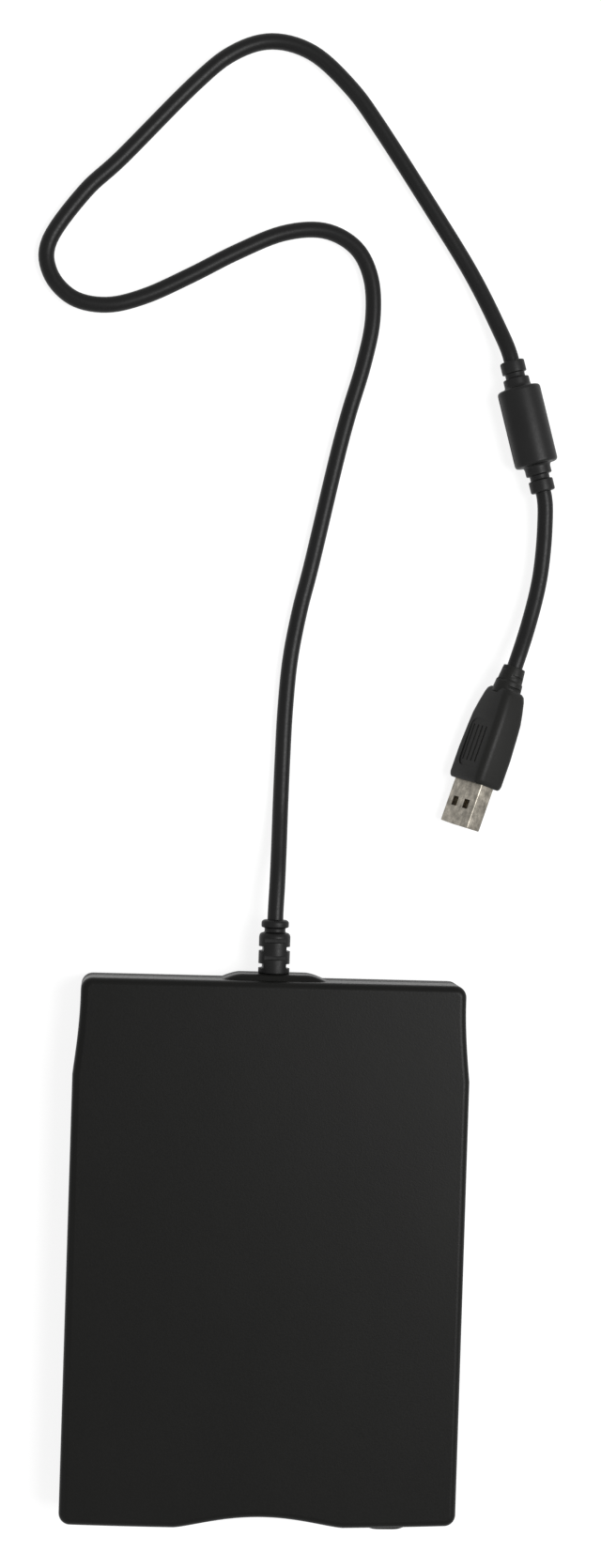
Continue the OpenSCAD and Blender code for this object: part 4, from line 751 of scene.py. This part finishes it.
def curve_at(p, i, t):
    """A point on the smooth curve through the knots, between knot i and the next."""
    a, b, c, d = (Vector(q) for q in p[i - 1:i + 3])
    return 0.5 * (2 * b + (c - a) * t + (2 * a - 5 * b + 4 * c - d) * t * t
                  + (3 * b - a - 3 * c + d) * t ** 3)


def smooth_route(start, start_way, route, end, end_way, steps=7):
    """Points of a cord from its start through its route to its end, never under the floor."""
    first = (Vector(route[0]) - start).length
    final = (end - Vector(route[-1])).length
    p = [Vector(route[0]) - 2 * first * start_way, start, *[Vector(r) for r in route], end,
         Vector(route[-1]) + 2 * final * end_way]
    points = [curve_at(p, i, k / steps) for i in range(1, len(p) - 2) for k in range(steps)]
    for q in points:
        q.z = max(q.z, CORD_R)
    return points + [end]


def lay_cord(name, points, diameter, node):
    """A round cord along points in millimetres, with its length in metres."""
    curve = bpy.data.curves.new(name, "CURVE")
    curve.dimensions = "3D"
    curve.bevel_depth = diameter / 2
    curve.bevel_resolution = 6
    curve.use_fill_caps = True
    spline = curve.splines.new("POLY")
    spline.points.add(len(points) - 1)
    for spot, p in zip(spline.points, points):
        spot.co = (*(p * MM), 1)
    spline.use_smooth = True
    thing = bpy.data.objects.new(name, curve)
    bpy.context.scene.collection.objects.link(thing)
    curve.materials.append(MATERIALS["cord_pvc"])
    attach(thing, "housing")
    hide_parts(node)
    length = sum((b - a).length for a, b in zip(points, points[1:])) * MM
    return thing, length


def way(turn):
    """Direction in the floor's plane, turned from -Y."""
    a = math.radians(turn)
    return Vector((math.sin(a), -math.cos(a), 0))


def on_axis(spot, turn, roll=0.0):
    """Local Z runs along the way of the turn, from the spot."""
    return (Matrix.Translation(spot) @ Matrix.Rotation(math.radians(turn), 4, "Z")
            @ Matrix.Rotation(math.pi / 2, 4, "X") @ Matrix.Rotation(math.radians(roll), 4, "Z"))


def bead_cover():
    """Moulded cover of the ferrite, with a collar and a neck at either end."""
    c = bpy.context.scene.drive_cord
    r, h = c.bead_diameter / MM / 2, c.bead_length / MM / 2
    collar_end, neck_end = BEAD_HALF - 3.2, BEAD_HALF - 4.6
    side = [
        (CORD_R - 0.1, BEAD_HALF), (BEAD_COLLAR_R, BEAD_HALF), (BEAD_COLLAR_R, collar_end),
        (BEAD_NECK_R, collar_end), (BEAD_NECK_R, neck_end), (BEAD_COLLAR_R + 0.2, neck_end),
        (BEAD_COLLAR_R + 0.2, h)]
    profile = rounded(side + [(r, h), (r, -h)] + [(x, -z) for x, z in reversed(side)], 1.5, 6)
    bm = bmesh.new()
    spin_profile(bm, profile, steps=72)
    # faint ridge of the mould's parting line
    for s in SIDES:
        add_box(bm, reach(s, r - 0.3, r + 0.06), (-0.11, 0.11), (-h + 1.5, h - 1.5), 0.04)
    return finish_piece("ferrite_bead_cover", bm, "bead_black", nodes=("ferrite_cover",), sharp=45,
                        place=on_axis(BEAD_AT, BEAD_TURN), weld=False)


def rounded_loop(bm, w, t, r, z):
    """A loop of edges round a rounded rectangle."""
    part = bmesh.new()
    corners = bmesh.ops.create_grid(part, x_segments=1, y_segments=1, size=0.5)["verts"]
    bmesh.ops.scale(part, vec=(w, t, 1), verts=corners)
    bmesh.ops.translate(part, vec=(0, 0, z), verts=corners)
    bmesh.ops.bevel(part, geom=corners, offset=r, segments=6, affect="VERTICES", profile=0.5, material=-1)
    bmesh.ops.delete(part, geom=list(part.faces), context="FACES_ONLY")
    before = set(bm.edges)
    take_in(bm, part)
    return [e for e in bm.edges if e not in before]


def bridge_sections(bm, sections, close=True):
    """A skin through rounded rectangles, each of a width, a thickness, a corner and a height."""
    loops = [rounded_loop(bm, *s) for s in sections]
    for a, b in zip(loops, loops[1:]):
        bmesh.ops.bridge_loops(bm, edges=a + b)
    if close:
        bmesh.ops.contextual_create(bm, geom=loops[0])
        bmesh.ops.contextual_create(bm, geom=loops[-1])


def panel_cutter(bm):
    """Shallow rounded panels in the grip's two broad faces."""
    sunk = 0.25
    for side in SIDES:
        panel = bmesh.new()
        deep = 0.45
        bridge_sections(panel, [(GRIP_PANEL_W, GRIP_PANEL_L, 2, z) for z in (-deep, deep)])
        bmesh.ops.rotate(
            panel, cent=(0, 0, 0), matrix=Matrix.Rotation(math.pi / 2, 3, "X"), verts=panel.verts)
        bmesh.ops.translate(
            panel, vec=(0, side * (GRIP_T / 2 + deep - sunk), GRIP_PANEL_AT), verts=panel.verts)
        take_in(bm, panel)


def plug_grip():
    """The plug's grip: body, slotted sleeve, bare panels with finger grooves, and the socket of the shell."""
    w, t = GRIP_W, GRIP_T
    bm = bmesh.new()
    bridge_sections(bm, [
        (0.62 * w, 0.7 * t, 2.2, 6.4), (0.7 * w, 0.78 * t, 2.1, 7.0), (0.76 * w, 0.83 * t, 2.1, 8.2),
        (0.86 * w, 0.9 * t, 2.1, 11.4), (0.935 * w, 0.95 * t, 2.1, 14.4), (0.965 * w, 0.975 * t, 2.1, 18),
        (w, t, 2.0, 24), (w, t, 2.0, GRIP_L - 1.3), (w - 0.35, t - 0.35, 1.9, GRIP_L - 0.5),
        (w - 1.1, t - 1.1, 1.6, GRIP_L - 0.02)])
    spin_profile(bm, rounded([
        (CORD_R - 0.1, 0), (2.95, 0), (3.3, 3.4), (3.3, 3.8), (3.6, 4.1), (3.9, 7.6)], 0.25, 3))
    place = on_axis(PLUG_AT, PLUG_TURN, PLUG_ROLL)
    thing = finish_piece("plug_grip_moulding", bm, "grip_black", nodes=("plug_grip",), place=place, sharp=38)
    cutter = bmesh.new()
    panel_cutter(cutter)
    fit = 0.05
    half_w, half_h = SHELL_W / 2 + fit, SHELL_H / 2 + fit
    add_box(cutter, (-half_w, half_w), (-half_h, half_h), (GRIP_L - 5, GRIP_L + 4))
    for i in range(4):
        start = 0.8 + 1.5 * i
        for side in SIDES:
            sleeve_slot(cutter, side, i % 2 == 1, (start, start + 0.7), CORD_R + 0.45 + 0.1 * i)
    bmesh.ops.transform(cutter, matrix=place, verts=cutter.verts)
    cut_by(thing, cutter, 38)
    grooves = bmesh.new()
    along = (GRIP_PANEL_AT - GROOVE_L / 2, GRIP_PANEL_AT + GROOVE_L / 2)
    for side in SIDES:
        for x in (-2.7, -0.9, 0.9, 2.7):
            add_box(grooves, (x - GROOVE_W / 2, x + GROOVE_W / 2), reach(side, t / 2 - 0.42, t / 2 + 0.5),
                    along, 0.14)
    bmesh.ops.transform(grooves, matrix=place, verts=grooves.verts)
    return cut_by(thing, grooves, 38)


def plug_shell():
    """The plug's shell of folded sheet, open at both ends, with its two square holes."""
    bm = bmesh.new()
    z0, z1 = GRIP_L - 5, GRIP_L + SHELL_L
    thick, lip = 2 * SHELL_T, 0.12

    def section(less, radius, z):
        return SHELL_W - less, SHELL_H - less, radius, z

    outer = [section(0, 0.45, z0), section(0, 0.45, z1 - 0.35), section(lip, 0.4, z1)]
    inner = [section(thick, 0.2, z0), section(thick, 0.2, z1 - 0.3), section(thick - lip, 0.25, z1)]
    bridge_sections(bm, outer, close=False)
    bridge_sections(bm, inner, close=False)
    for z in (z0, z1):
        ring = [e for e in open_edges(bm) if all(abs(v.co.z - z) < 1e-4 for v in e.verts)]
        bmesh.ops.bridge_loops(bm, edges=ring)
    place = on_axis(PLUG_AT, PLUG_TURN, PLUG_ROLL)
    thing = finish_piece("plug_metal_shell", bm, "shell_steel", nodes=("plug_shell",), place=place, sharp=30)
    cutter = bmesh.new()
    middle = GRIP_L + SHELL_L / 2
    for x in (-SHELL_HOLE_X, SHELL_HOLE_X):
        add_box(cutter, (x - SHELL_HOLE_W / 2, x + SHELL_HOLE_W / 2), (-5, 5),
                (middle - SHELL_HOLE_L / 2, middle + SHELL_HOLE_L / 2), 0.15)
    # the join of the folded sheet
    add_box(cutter, (-0.06, 0.06), (-SHELL_H / 2 - 0.2, -SHELL_H / 2 + 0.12), (GRIP_L - 1, z1 + 1))
    bmesh.ops.transform(cutter, matrix=place, verts=cutter.verts)
    return cut_by(thing, cutter, 30)


def rim_of(bm, window):
    """The open edges round a window of a range along X and one along Z."""
    x0, x1, z0, z1 = window
    near = 0.01
    return [e for e in open_edges(bm) if all(
        x0 - near < v.co.x < x1 + near and z0 - near < v.co.z < z1 + near for v in e.verts)]


def front_panel():
    """The panel in the front opening: face, bevelled slot and throat."""
    fit, lip = 0.15, 0.8
    window_depth, rim_depth = 1.9, 2.0
    x_end = OPEN_X - fit
    z0, z1 = OPEN_Z[0] + fit, OPEN_Z[1] - fit
    key_half = BUTTON_W / 2 + 0.2
    slot = (-SLOT_W / 2, SLOT_W / 2, SLOT_Z[0] - lip, SLOT_Z[1] + lip)
    key = (BUTTON_X - key_half, BUTTON_X + key_half, BUTTON_Z - 0.2, BUTTON_Z + BUTTON_H + 0.15)
    lamp = (-LAMP_X - LAMP_W / 2, -LAMP_X + LAMP_W / 2, *LAMP_Z)
    windows = (slot, key, lamp)
    columns = sorted({round(-x_end + 2 * x_end * i / 120, 4) for i in range(121)}
                     | {x for window in windows for x in window[:2]})
    bm = bmesh.new()
    foot = [bm.verts.new((x, front_line(x) + PANEL_IN, z0)) for x in columns]
    edges = [bm.edges.new(pair) for pair in zip(foot, foot[1:])]
    bmesh.ops.translate(bm, vec=(0, 0, z1 - z0), verts=drawn(bm, edges))
    for z in (z for window in windows for z in window[2:]):
        bmesh.ops.bisect_plane(bm, geom=[*bm.verts, *bm.edges, *bm.faces], dist=1e-4,
                               plane_co=(0, 0, z), plane_no=(0, 0, 1))
    for left, right, low, high in windows:
        gone = [f for f in bm.faces
                if left < f.calc_center_median().x < right and low < f.calc_center_median().z < high]
        bmesh.ops.delete(bm, geom=gone, context="FACES")
    # lips of the slot slope in to its throat
    sloped = set(drawn(bm, rim_of(bm, slot)))
    for v in sloped:
        v.co.y += lip
        v.co.z = max(SLOT_Z[0], min(SLOT_Z[1], v.co.z))
    for v in drawn(bm, [e for e in open_edges(bm) if sloped.issuperset(e.verts)]):
        v.co.y = Y_FRONT + THROAT
    for window in (key, lamp):
        bmesh.ops.translate(bm, vec=(0, window_depth, 0), verts=drawn(bm, rim_of(bm, window)))
    # outer rim turns back into the case
    rim = [e for e in open_edges(bm) if all(
        min(abs(v.co.z - z0), abs(v.co.z - z1), abs(abs(v.co.x) - x_end)) < 0.01 for v in e.verts)]
    bmesh.ops.translate(bm, vec=(0, rim_depth, 0), verts=drawn(bm, rim))
    thing = finish_piece("front_panel", bm, "black_panel", nodes=("front_bezel",), sharp=30)
    add_modifier(thing, "BEVEL", width=0.14 * MM, segments=2, limit_method="ANGLE",
                 angle_limit=math.radians(35))
    add_modifier(thing, "WEIGHTED_NORMAL", keep_sharp=True)
    return thing


def rise(edge):
    return abs(edge.verts[0].co.z - edge.verts[1].co.z)


def eject_key():
    """The eject button, with its stem and the fork that holds the slide's tongue."""
    w = BUTTON_W / 2
    y0 = Y_FRONT + BUTTON_FRONT
    bm = bmesh.new()
    side = [(w, Y_FRONT + 5.5), (w, y0 + 2.3), (w - 0.9, y0 + 1.0), (w - 2.4, y0 + 0.25), (w - 4, y0)]
    plan = side + [(-x, y) for x, y in reversed(side)]
    base = bm.faces.new([bm.verts.new((BUTTON_X + x, y, BUTTON_Z)) for x, y in plan])
    top = new_verts(bmesh.ops.extrude_face_region(bm, geom=[base]))
    bmesh.ops.translate(bm, vec=(0, 0, BUTTON_H), verts=top)
    bevel_edges(bm, [e for e in bm.edges if rise(e) > 1 and e.verts[0].co.y < Y_FRONT], 0.9, 4)
    bmesh.ops.recalc_face_normals(bm, faces=bm.faces)
    rims = [e for e in bm.edges if rise(e) < 1e-5 and min(v.co.y for v in e.verts) < Y_FRONT + 3]
    bevel_edges(bm, rims, 0.45, 4)
    stem = (BUTTON_X - 3, BUTTON_X + 3)
    add_box(bm, stem, (Y_FRONT + 5.4, Y_FRONT + 9), (4.5, 6.6), 0.15)
    for z in (4.5, 5.8):
        add_box(bm, stem, (Y_FRONT + 8.8, Y_FRONT + 12), (z, z + 0.8), 0.1)
    return finish_piece("eject_key", bm, "button_black", body="slide", nodes=("eject_button",), sharp=40,
                        weld=False)


def feet():
    """The four rubber feet."""
    bm = bmesh.new()
    for x, y in itertools.product((-FOOT_X, FOOT_X), FOOT_Y):
        part = bmesh.new()
        bridge_sections(part, [(11.6, 5.6, 1.9, 0.0), (12, 6, 2, 0.3), (12, 6, 2, 1.15)])
        bmesh.ops.translate(part, vec=(x, Y_FRONT + y, 0.0), verts=part.verts)
        take_in(bm, part)
    return finish_piece("foot_pads", bm, "feet_rubber", nodes=("rubber_feet",), sharp=50)


def tube(bm, x, y, low, high, outer, hole):
    """A standing tube at a place."""
    part = bmesh.new()
    spin_profile(part, [(hole, low), (outer, low), (outer, high), (hole, high), (hole, low)], steps=36)
    bmesh.ops.translate(part, vec=(x, y, 0), verts=part.verts)
    take_in(bm, part)


def top_fittings():
    """Screw posts, ribs and the catches of the top cover."""
    inner = CASE_W / 2 - WALL
    bm = bmesh.new()
    for x, y in case_screw_places():
        tube(bm, x, y, SEAM_Z + 0.05, CEILING, POST_R, 1.1)
    for x in (-30, 0, 30):
        add_box(bm, (x - 0.6, x + 0.6), (Y_FRONT + 12, DRIVE_REAR - 2), (15.52, CEILING))
    for y in (Y_FRONT + 30, Y_FRONT + CASE_L / 2 - 6.5, Y_FRONT + CASE_L - 43):
        along = (y - 4, y + 4)
        for side in SIDES:
            add_box(bm, reach(side, inner - 0.8, inner - 0.1), along, (5.6, 10.6), 0.1, 1)
            add_box(bm, reach(side, inner - 0.8, inner + 0.1), along, (10.2, 12.6), 0.1, 1)
    return finish_piece("top_fittings", bm, "black_case", weld=False)


def base_fittings():
    """Screw posts, the posts under the chassis and the board, and the chassis's guides."""
    inner = CASE_W / 2 - WALL
    drive_length = DRIVE_REAR - Y_FRONT
    bm = bmesh.new()
    for x, y in case_screw_places():
        tube(bm, x, y, FLOOR, SEAM_Z, POST_R, SCREW_HOLE_R)
    for x, y in ((-44, 20), (44, 20), (-40, drive_length - 19), (28, drive_length - 6)):
        tube(bm, x, Y_FRONT + y, FLOOR, CHASSIS_TOP, 2.6, 1.0)
    for x in (-24, 24):
        tube(bm, x, DRIVE_REAR + 3.4, FLOOR, BOARD_TOP, 1.8, 0.7)
    for y in (Y_FRONT + 16, Y_FRONT + 47, DRIVE_REAR - 50, DRIVE_REAR - 19):
        for side in SIDES:
            add_box(bm, reach(side, GUIDE_X, inner + 0.2), (y - 0.6, y + 0.6), (FLOOR, SEAM_Z - 1), 0.1, 1)
    return finish_piece("base_fittings", bm, "black_case_low", weld=False)


def coil_wire(bm, x, z, y, radius, wire, turns):
    """Round wire wound round a line along Y, over a range."""
    steps = 20 * turns
    length = y[1] - y[0]
    part = bmesh.new()
    ring = bmesh.ops.create_circle(part, cap_ends=False, segments=8, radius=wire)["verts"]
    lean = math.atan2(length / (2 * math.pi * turns), radius)
    bmesh.ops.rotate(part, cent=(0, 0, 0), matrix=Matrix.Rotation(-lean, 3, "X"), verts=ring)
    bmesh.ops.translate(part, vec=(radius, 0, 0), verts=ring)
    bmesh.ops.spin(part, geom=[*part.verts, *part.edges], cent=(0, 0, 0), axis=(0, -1, 0),
                   angle=2 * math.pi * turns, dvec=(0, length / steps, 0), steps=steps)
    bmesh.ops.holes_fill(part, edges=open_edges(part), sides=0)
    bmesh.ops.translate(part, vec=(x, y[0], z), verts=part.verts)
    take_in(bm, part)


def pull_springs():
    """The two long springs, wound in place between the chassis and the slide and left on no body."""
    bm = bmesh.new()
    wire = 0.2
    front, rear = SPRING_Y
    for side in SIDES:
        coil_wire(bm, side * SPRING_X, SPRING_Z, (front + wire, rear - wire), SPRING_R - wire / 2, wire, 14)
    thing = finish_piece("pull_springs", bm, "spring_steel", body=None, nodes=("slide_springs",), weld=False)
    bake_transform(thing)


# ---------------------------------------------------------------- operators

class DRIVE_OT_camera(bpy.types.Operator):
    """Place the camera at the photograph's angle"""
    bl_idname = "drive.camera"
    bl_label = "Camera"

    def execute(self, context):
        settings = context.scene.drive_camera
        data = bpy.data.cameras.new("camera")
        data.lens = settings.lens
        data.sensor_width = 36
        data.sensor_fit = "AUTO"
        data.clip_start = 0.01
        data.clip_end = 20
        camera = bpy.data.objects.new("camera", data)
        camera.location = settings.place
        camera.rotation_euler = Euler(settings.turn, "XYZ")
        context.scene.collection.objects.link(camera)
        context.scene.camera = camera
        return {"FINISHED"}


class DRIVE_OT_finishes(bpy.types.Operator):
    """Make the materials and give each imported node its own"""
    bl_idname = "drive.finishes"
    bl_label = "Finishes"

    def execute(self, context):
        make_materials()
        return {"FINISHED"}


class DRIVE_OT_strain_relief(bpy.types.Operator):
    """Make the slotted sleeve where the cord leaves the case"""
    bl_idname = "drive.strain_relief"
    bl_label = "Strain Relief"

    def execute(self, context):
        strain_relief()
        return {"FINISHED"}


class DRIVE_OT_bead(bpy.types.Operator):
    """Make the moulded cover of the ferrite bead"""
    bl_idname = "drive.bead"
    bl_label = "Ferrite Bead"

    def execute(self, context):
        bead_cover()
        return {"FINISHED"}


class DRIVE_OT_plug(bpy.types.Operator):
    """Make the plug's grip and its metal shell"""
    bl_idname = "drive.plug"
    bl_label = "Plug"

    def execute(self, context):
        plug_grip()
        plug_shell()
        return {"FINISHED"}


class DRIVE_OT_cords(bpy.types.Operator):
    """Lay the long cord to the bead and the short one from the bead to the plug"""
    bl_idname = "drive.cords"
    bl_label = "Cords"

    def execute(self, context):
        diameter = context.scene.drive_cord.diameter
        along_bead = way(BEAD_TURN)
        start = Vector((0, BOOT_TIP, SEAM_Z))
        points = smooth_route(
            start, Vector((0, 1, 0)), MAIN_ROUTE, BEAD_AT - BEAD_HALF * along_bead, along_bead)
        cord, length = lay_cord("cord_long", points, diameter, "cord_main")
        start = BEAD_AT + BEAD_HALF * along_bead
        points = smooth_route(start, along_bead, TAIL_ROUTE, PLUG_AT, way(PLUG_TURN), 10)
        cord, length = lay_cord("cord_short", points, diameter, "cord_tail")
        return {"FINISHED"}


class DRIVE_OT_covers(bpy.types.Operator):
    """Make the two covers with the posts, ribs and catches inside them"""
    bl_idname = "drive.covers"
    bl_label = "Covers"

    def execute(self, context):
        cover_shell("top_shell", 1, "black_case", "top_cover")
        screw_wells(cover_shell("base_shell", -1, "black_case_low", "bottom_cover"))
        top_fittings()
        base_fittings()
        return {"FINISHED"}


class DRIVE_OT_swelling(bpy.types.Operator):
    """Make the soft swelling round the cord's exit"""
    bl_idname = "drive.swelling"
    bl_label = "Swelling"

    def execute(self, context):
        bulge("top_bulge", 1, "black_case")
        bulge("base_bulge", -1, "black_case_low")
        return {"FINISHED"}


class DRIVE_OT_feet(bpy.types.Operator):
    """Make the rubber feet"""
    bl_idname = "drive.feet"
    bl_label = "Feet"

    def execute(self, context):
        feet()
        return {"FINISHED"}


class DRIVE_OT_front(bpy.types.Operator):
    """Make the front panel with its slot"""
    bl_idname = "drive.front"
    bl_label = "Front Panel"

    def execute(self, context):
        front_panel()
        return {"FINISHED"}


class DRIVE_OT_key(bpy.types.Operator):
    """Make the eject button"""
    bl_idname = "drive.key"
    bl_label = "Eject Button"

    def execute(self, context):
        eject_key()
        return {"FINISHED"}


class DRIVE_OT_springs(bpy.types.Operator):
    """Wind the springs that stretch between the chassis and the slide"""
    bl_idname = "drive.springs"
    bl_label = "Pull Springs"

    def execute(self, context):
        pull_springs()
        return {"FINISHED"}


def grey(value):
    return (value, value, value, 1)


def shader(tree, kind, *parts, fac=None, **values):
    """The output of a new shader node, fed by other shaders."""
    node = tree.nodes.new("ShaderNode" + kind)
    if fac is not None:
        tree.links.new(fac, node.inputs["Fac"])
    sockets = [socket for socket in node.inputs if socket.type == "SHADER"]
    for part, socket in zip(parts, sockets):
        tree.links.new(part, socket)
    for key, value in values.items():
        node.inputs[key].default_value = value
    return node.outputs[0]


def seen_directly(tree):
    """1 for what the camera sees, also in gloss or through clear things, 0 for what only lights."""
    path = tree.nodes.new("ShaderNodeLightPath")
    value = path.outputs["Is Camera Ray"]
    for name in ("Is Glossy Ray", "Is Transmission Ray"):
        node = tree.nodes.new("ShaderNodeMath")
        node.operation = "MAXIMUM"
        tree.links.new(value, node.inputs[0])
        tree.links.new(path.outputs[name], node.inputs[1])
        value = node.outputs[0]
    return value


class DRIVE_OT_stage(bpy.types.Operator):
    """Make the floor, the surroundings and the lights"""
    bl_idname = "drive.stage"
    bl_label = "Stage"

    def execute(self, context):
        settings = context.scene.drive_studio
        scene = context.scene
        scene.view_settings.view_transform = "Standard"
        world = bpy.data.worlds.new("surroundings")
        scene.world = world
        world.use_nodes = True
        tree = world.node_tree
        tree.nodes.clear()
        light = shader(tree, "Background", Color=grey(1), Strength=settings.sky)
        white = shader(tree, "Background", Color=grey(1))
        both = shader(tree, "MixShader", light, white, fac=seen_directly(tree))
        out = tree.nodes.new("ShaderNodeOutputWorld")
        tree.links.new(both, out.inputs["Surface"])
        self.floor(context, settings)
        self.lamp("key_light", (0.56, 0.10, 1.0), settings.key, 0.7)
        self.lamp("fill_light", (-0.75, -0.45, 0.7), settings.fill, 0.8)
        return {"FINISHED"}

    @staticmethod
    def floor(context, settings):
        bm = bmesh.new()
        bmesh.ops.create_grid(bm, x_segments=4, y_segments=4, size=3.0)
        mesh = to_mesh(bm, "floor")
        thing = bpy.data.objects.new("floor", mesh)
        context.scene.collection.objects.link(thing)
        material = bpy.data.materials.new("floor_white")
        material.use_nodes = True
        tree = material.node_tree
        tree.nodes.clear()
        plain = shader(tree, "BsdfDiffuse", Color=grey(0.8))
        soft = shader(tree, "BsdfDiffuse", Color=grey(0.26))
        glow = shader(tree, "Emission", Color=grey(1), Strength=settings.floor_white)
        both = shader(tree, "AddShader", soft, glow)
        above = shader(tree, "MixShader", plain, both, fac=seen_directly(tree))
        # seen from below the floor is clear, so that the underside shows
        behind = tree.nodes.new("ShaderNodeNewGeometry").outputs["Backfacing"]
        sides = shader(tree, "MixShader", above, shader(tree, "BsdfTransparent"), fac=behind)
        out = tree.nodes.new("ShaderNodeOutputMaterial")
        tree.links.new(sides, out.inputs["Surface"])
        mesh.materials.append(material)

    @staticmethod
    def lamp(name, place, power, size):
        data = bpy.data.lights.new(name, "AREA")
        data.energy = power
        data.shape = "DISK"
        data.size = size
        lamp = bpy.data.objects.new(name, data)
        lamp.location = place
        lamp.rotation_euler = (Vector((0, 0.1, 0)) - Vector(place)).to_track_quat("-Z", "Y").to_euler()
        bpy.context.scene.collection.objects.link(lamp)


class DRIVE_PT_panel(bpy.types.Panel):
    bl_label = "Disk Drive"
    bl_idname = "DRIVE_PT_panel"
    bl_space_type = "VIEW_3D"
    bl_region_type = "UI"
    bl_category = "Disk Drive"

    def draw(self, context):
        for operator in STEPS:
            self.layout.operator(operator.bl_idname)
        for name, group in SETTINGS.items():
            box = self.layout.box()
            for key in group.__annotations__:
                box.prop(getattr(context.scene, name), key)


STEPS = (
    DRIVE_OT_camera, DRIVE_OT_finishes, DRIVE_OT_covers, DRIVE_OT_swelling, DRIVE_OT_feet, DRIVE_OT_front,
    DRIVE_OT_key, DRIVE_OT_springs, DRIVE_OT_strain_relief, DRIVE_OT_bead, DRIVE_OT_plug, DRIVE_OT_cords,
    DRIVE_OT_stage)


def register():
    for group in (*SETTINGS.values(), *STEPS, DRIVE_PT_panel):
        bpy.utils.register_class(group)
    for name, group in SETTINGS.items():
        setattr(bpy.types.Scene, name, bpy.props.PointerProperty(type=group))


def unregister():
    for name in SETTINGS:
        delattr(bpy.types.Scene, name)
    for group in (DRIVE_PT_panel, *reversed(STEPS), *reversed(list(SETTINGS.values()))):
        bpy.utils.unregister_class(group)


def main():
    register()
    bpy.ops.drive.camera()
    bpy.ops.drive.finishes()
    bpy.ops.drive.covers()
    bpy.ops.drive.swelling()
    bpy.ops.drive.feet()
    bpy.ops.drive.front()
    bpy.ops.drive.key()
    bpy.ops.drive.springs()
    bpy.ops.drive.strain_relief()
    bpy.ops.drive.bead()
    bpy.ops.drive.plug()
    bpy.ops.drive.cords()
    bpy.ops.drive.stage()
    bpy.context.view_layer.update()


if __name__ == "__main__":
    main()
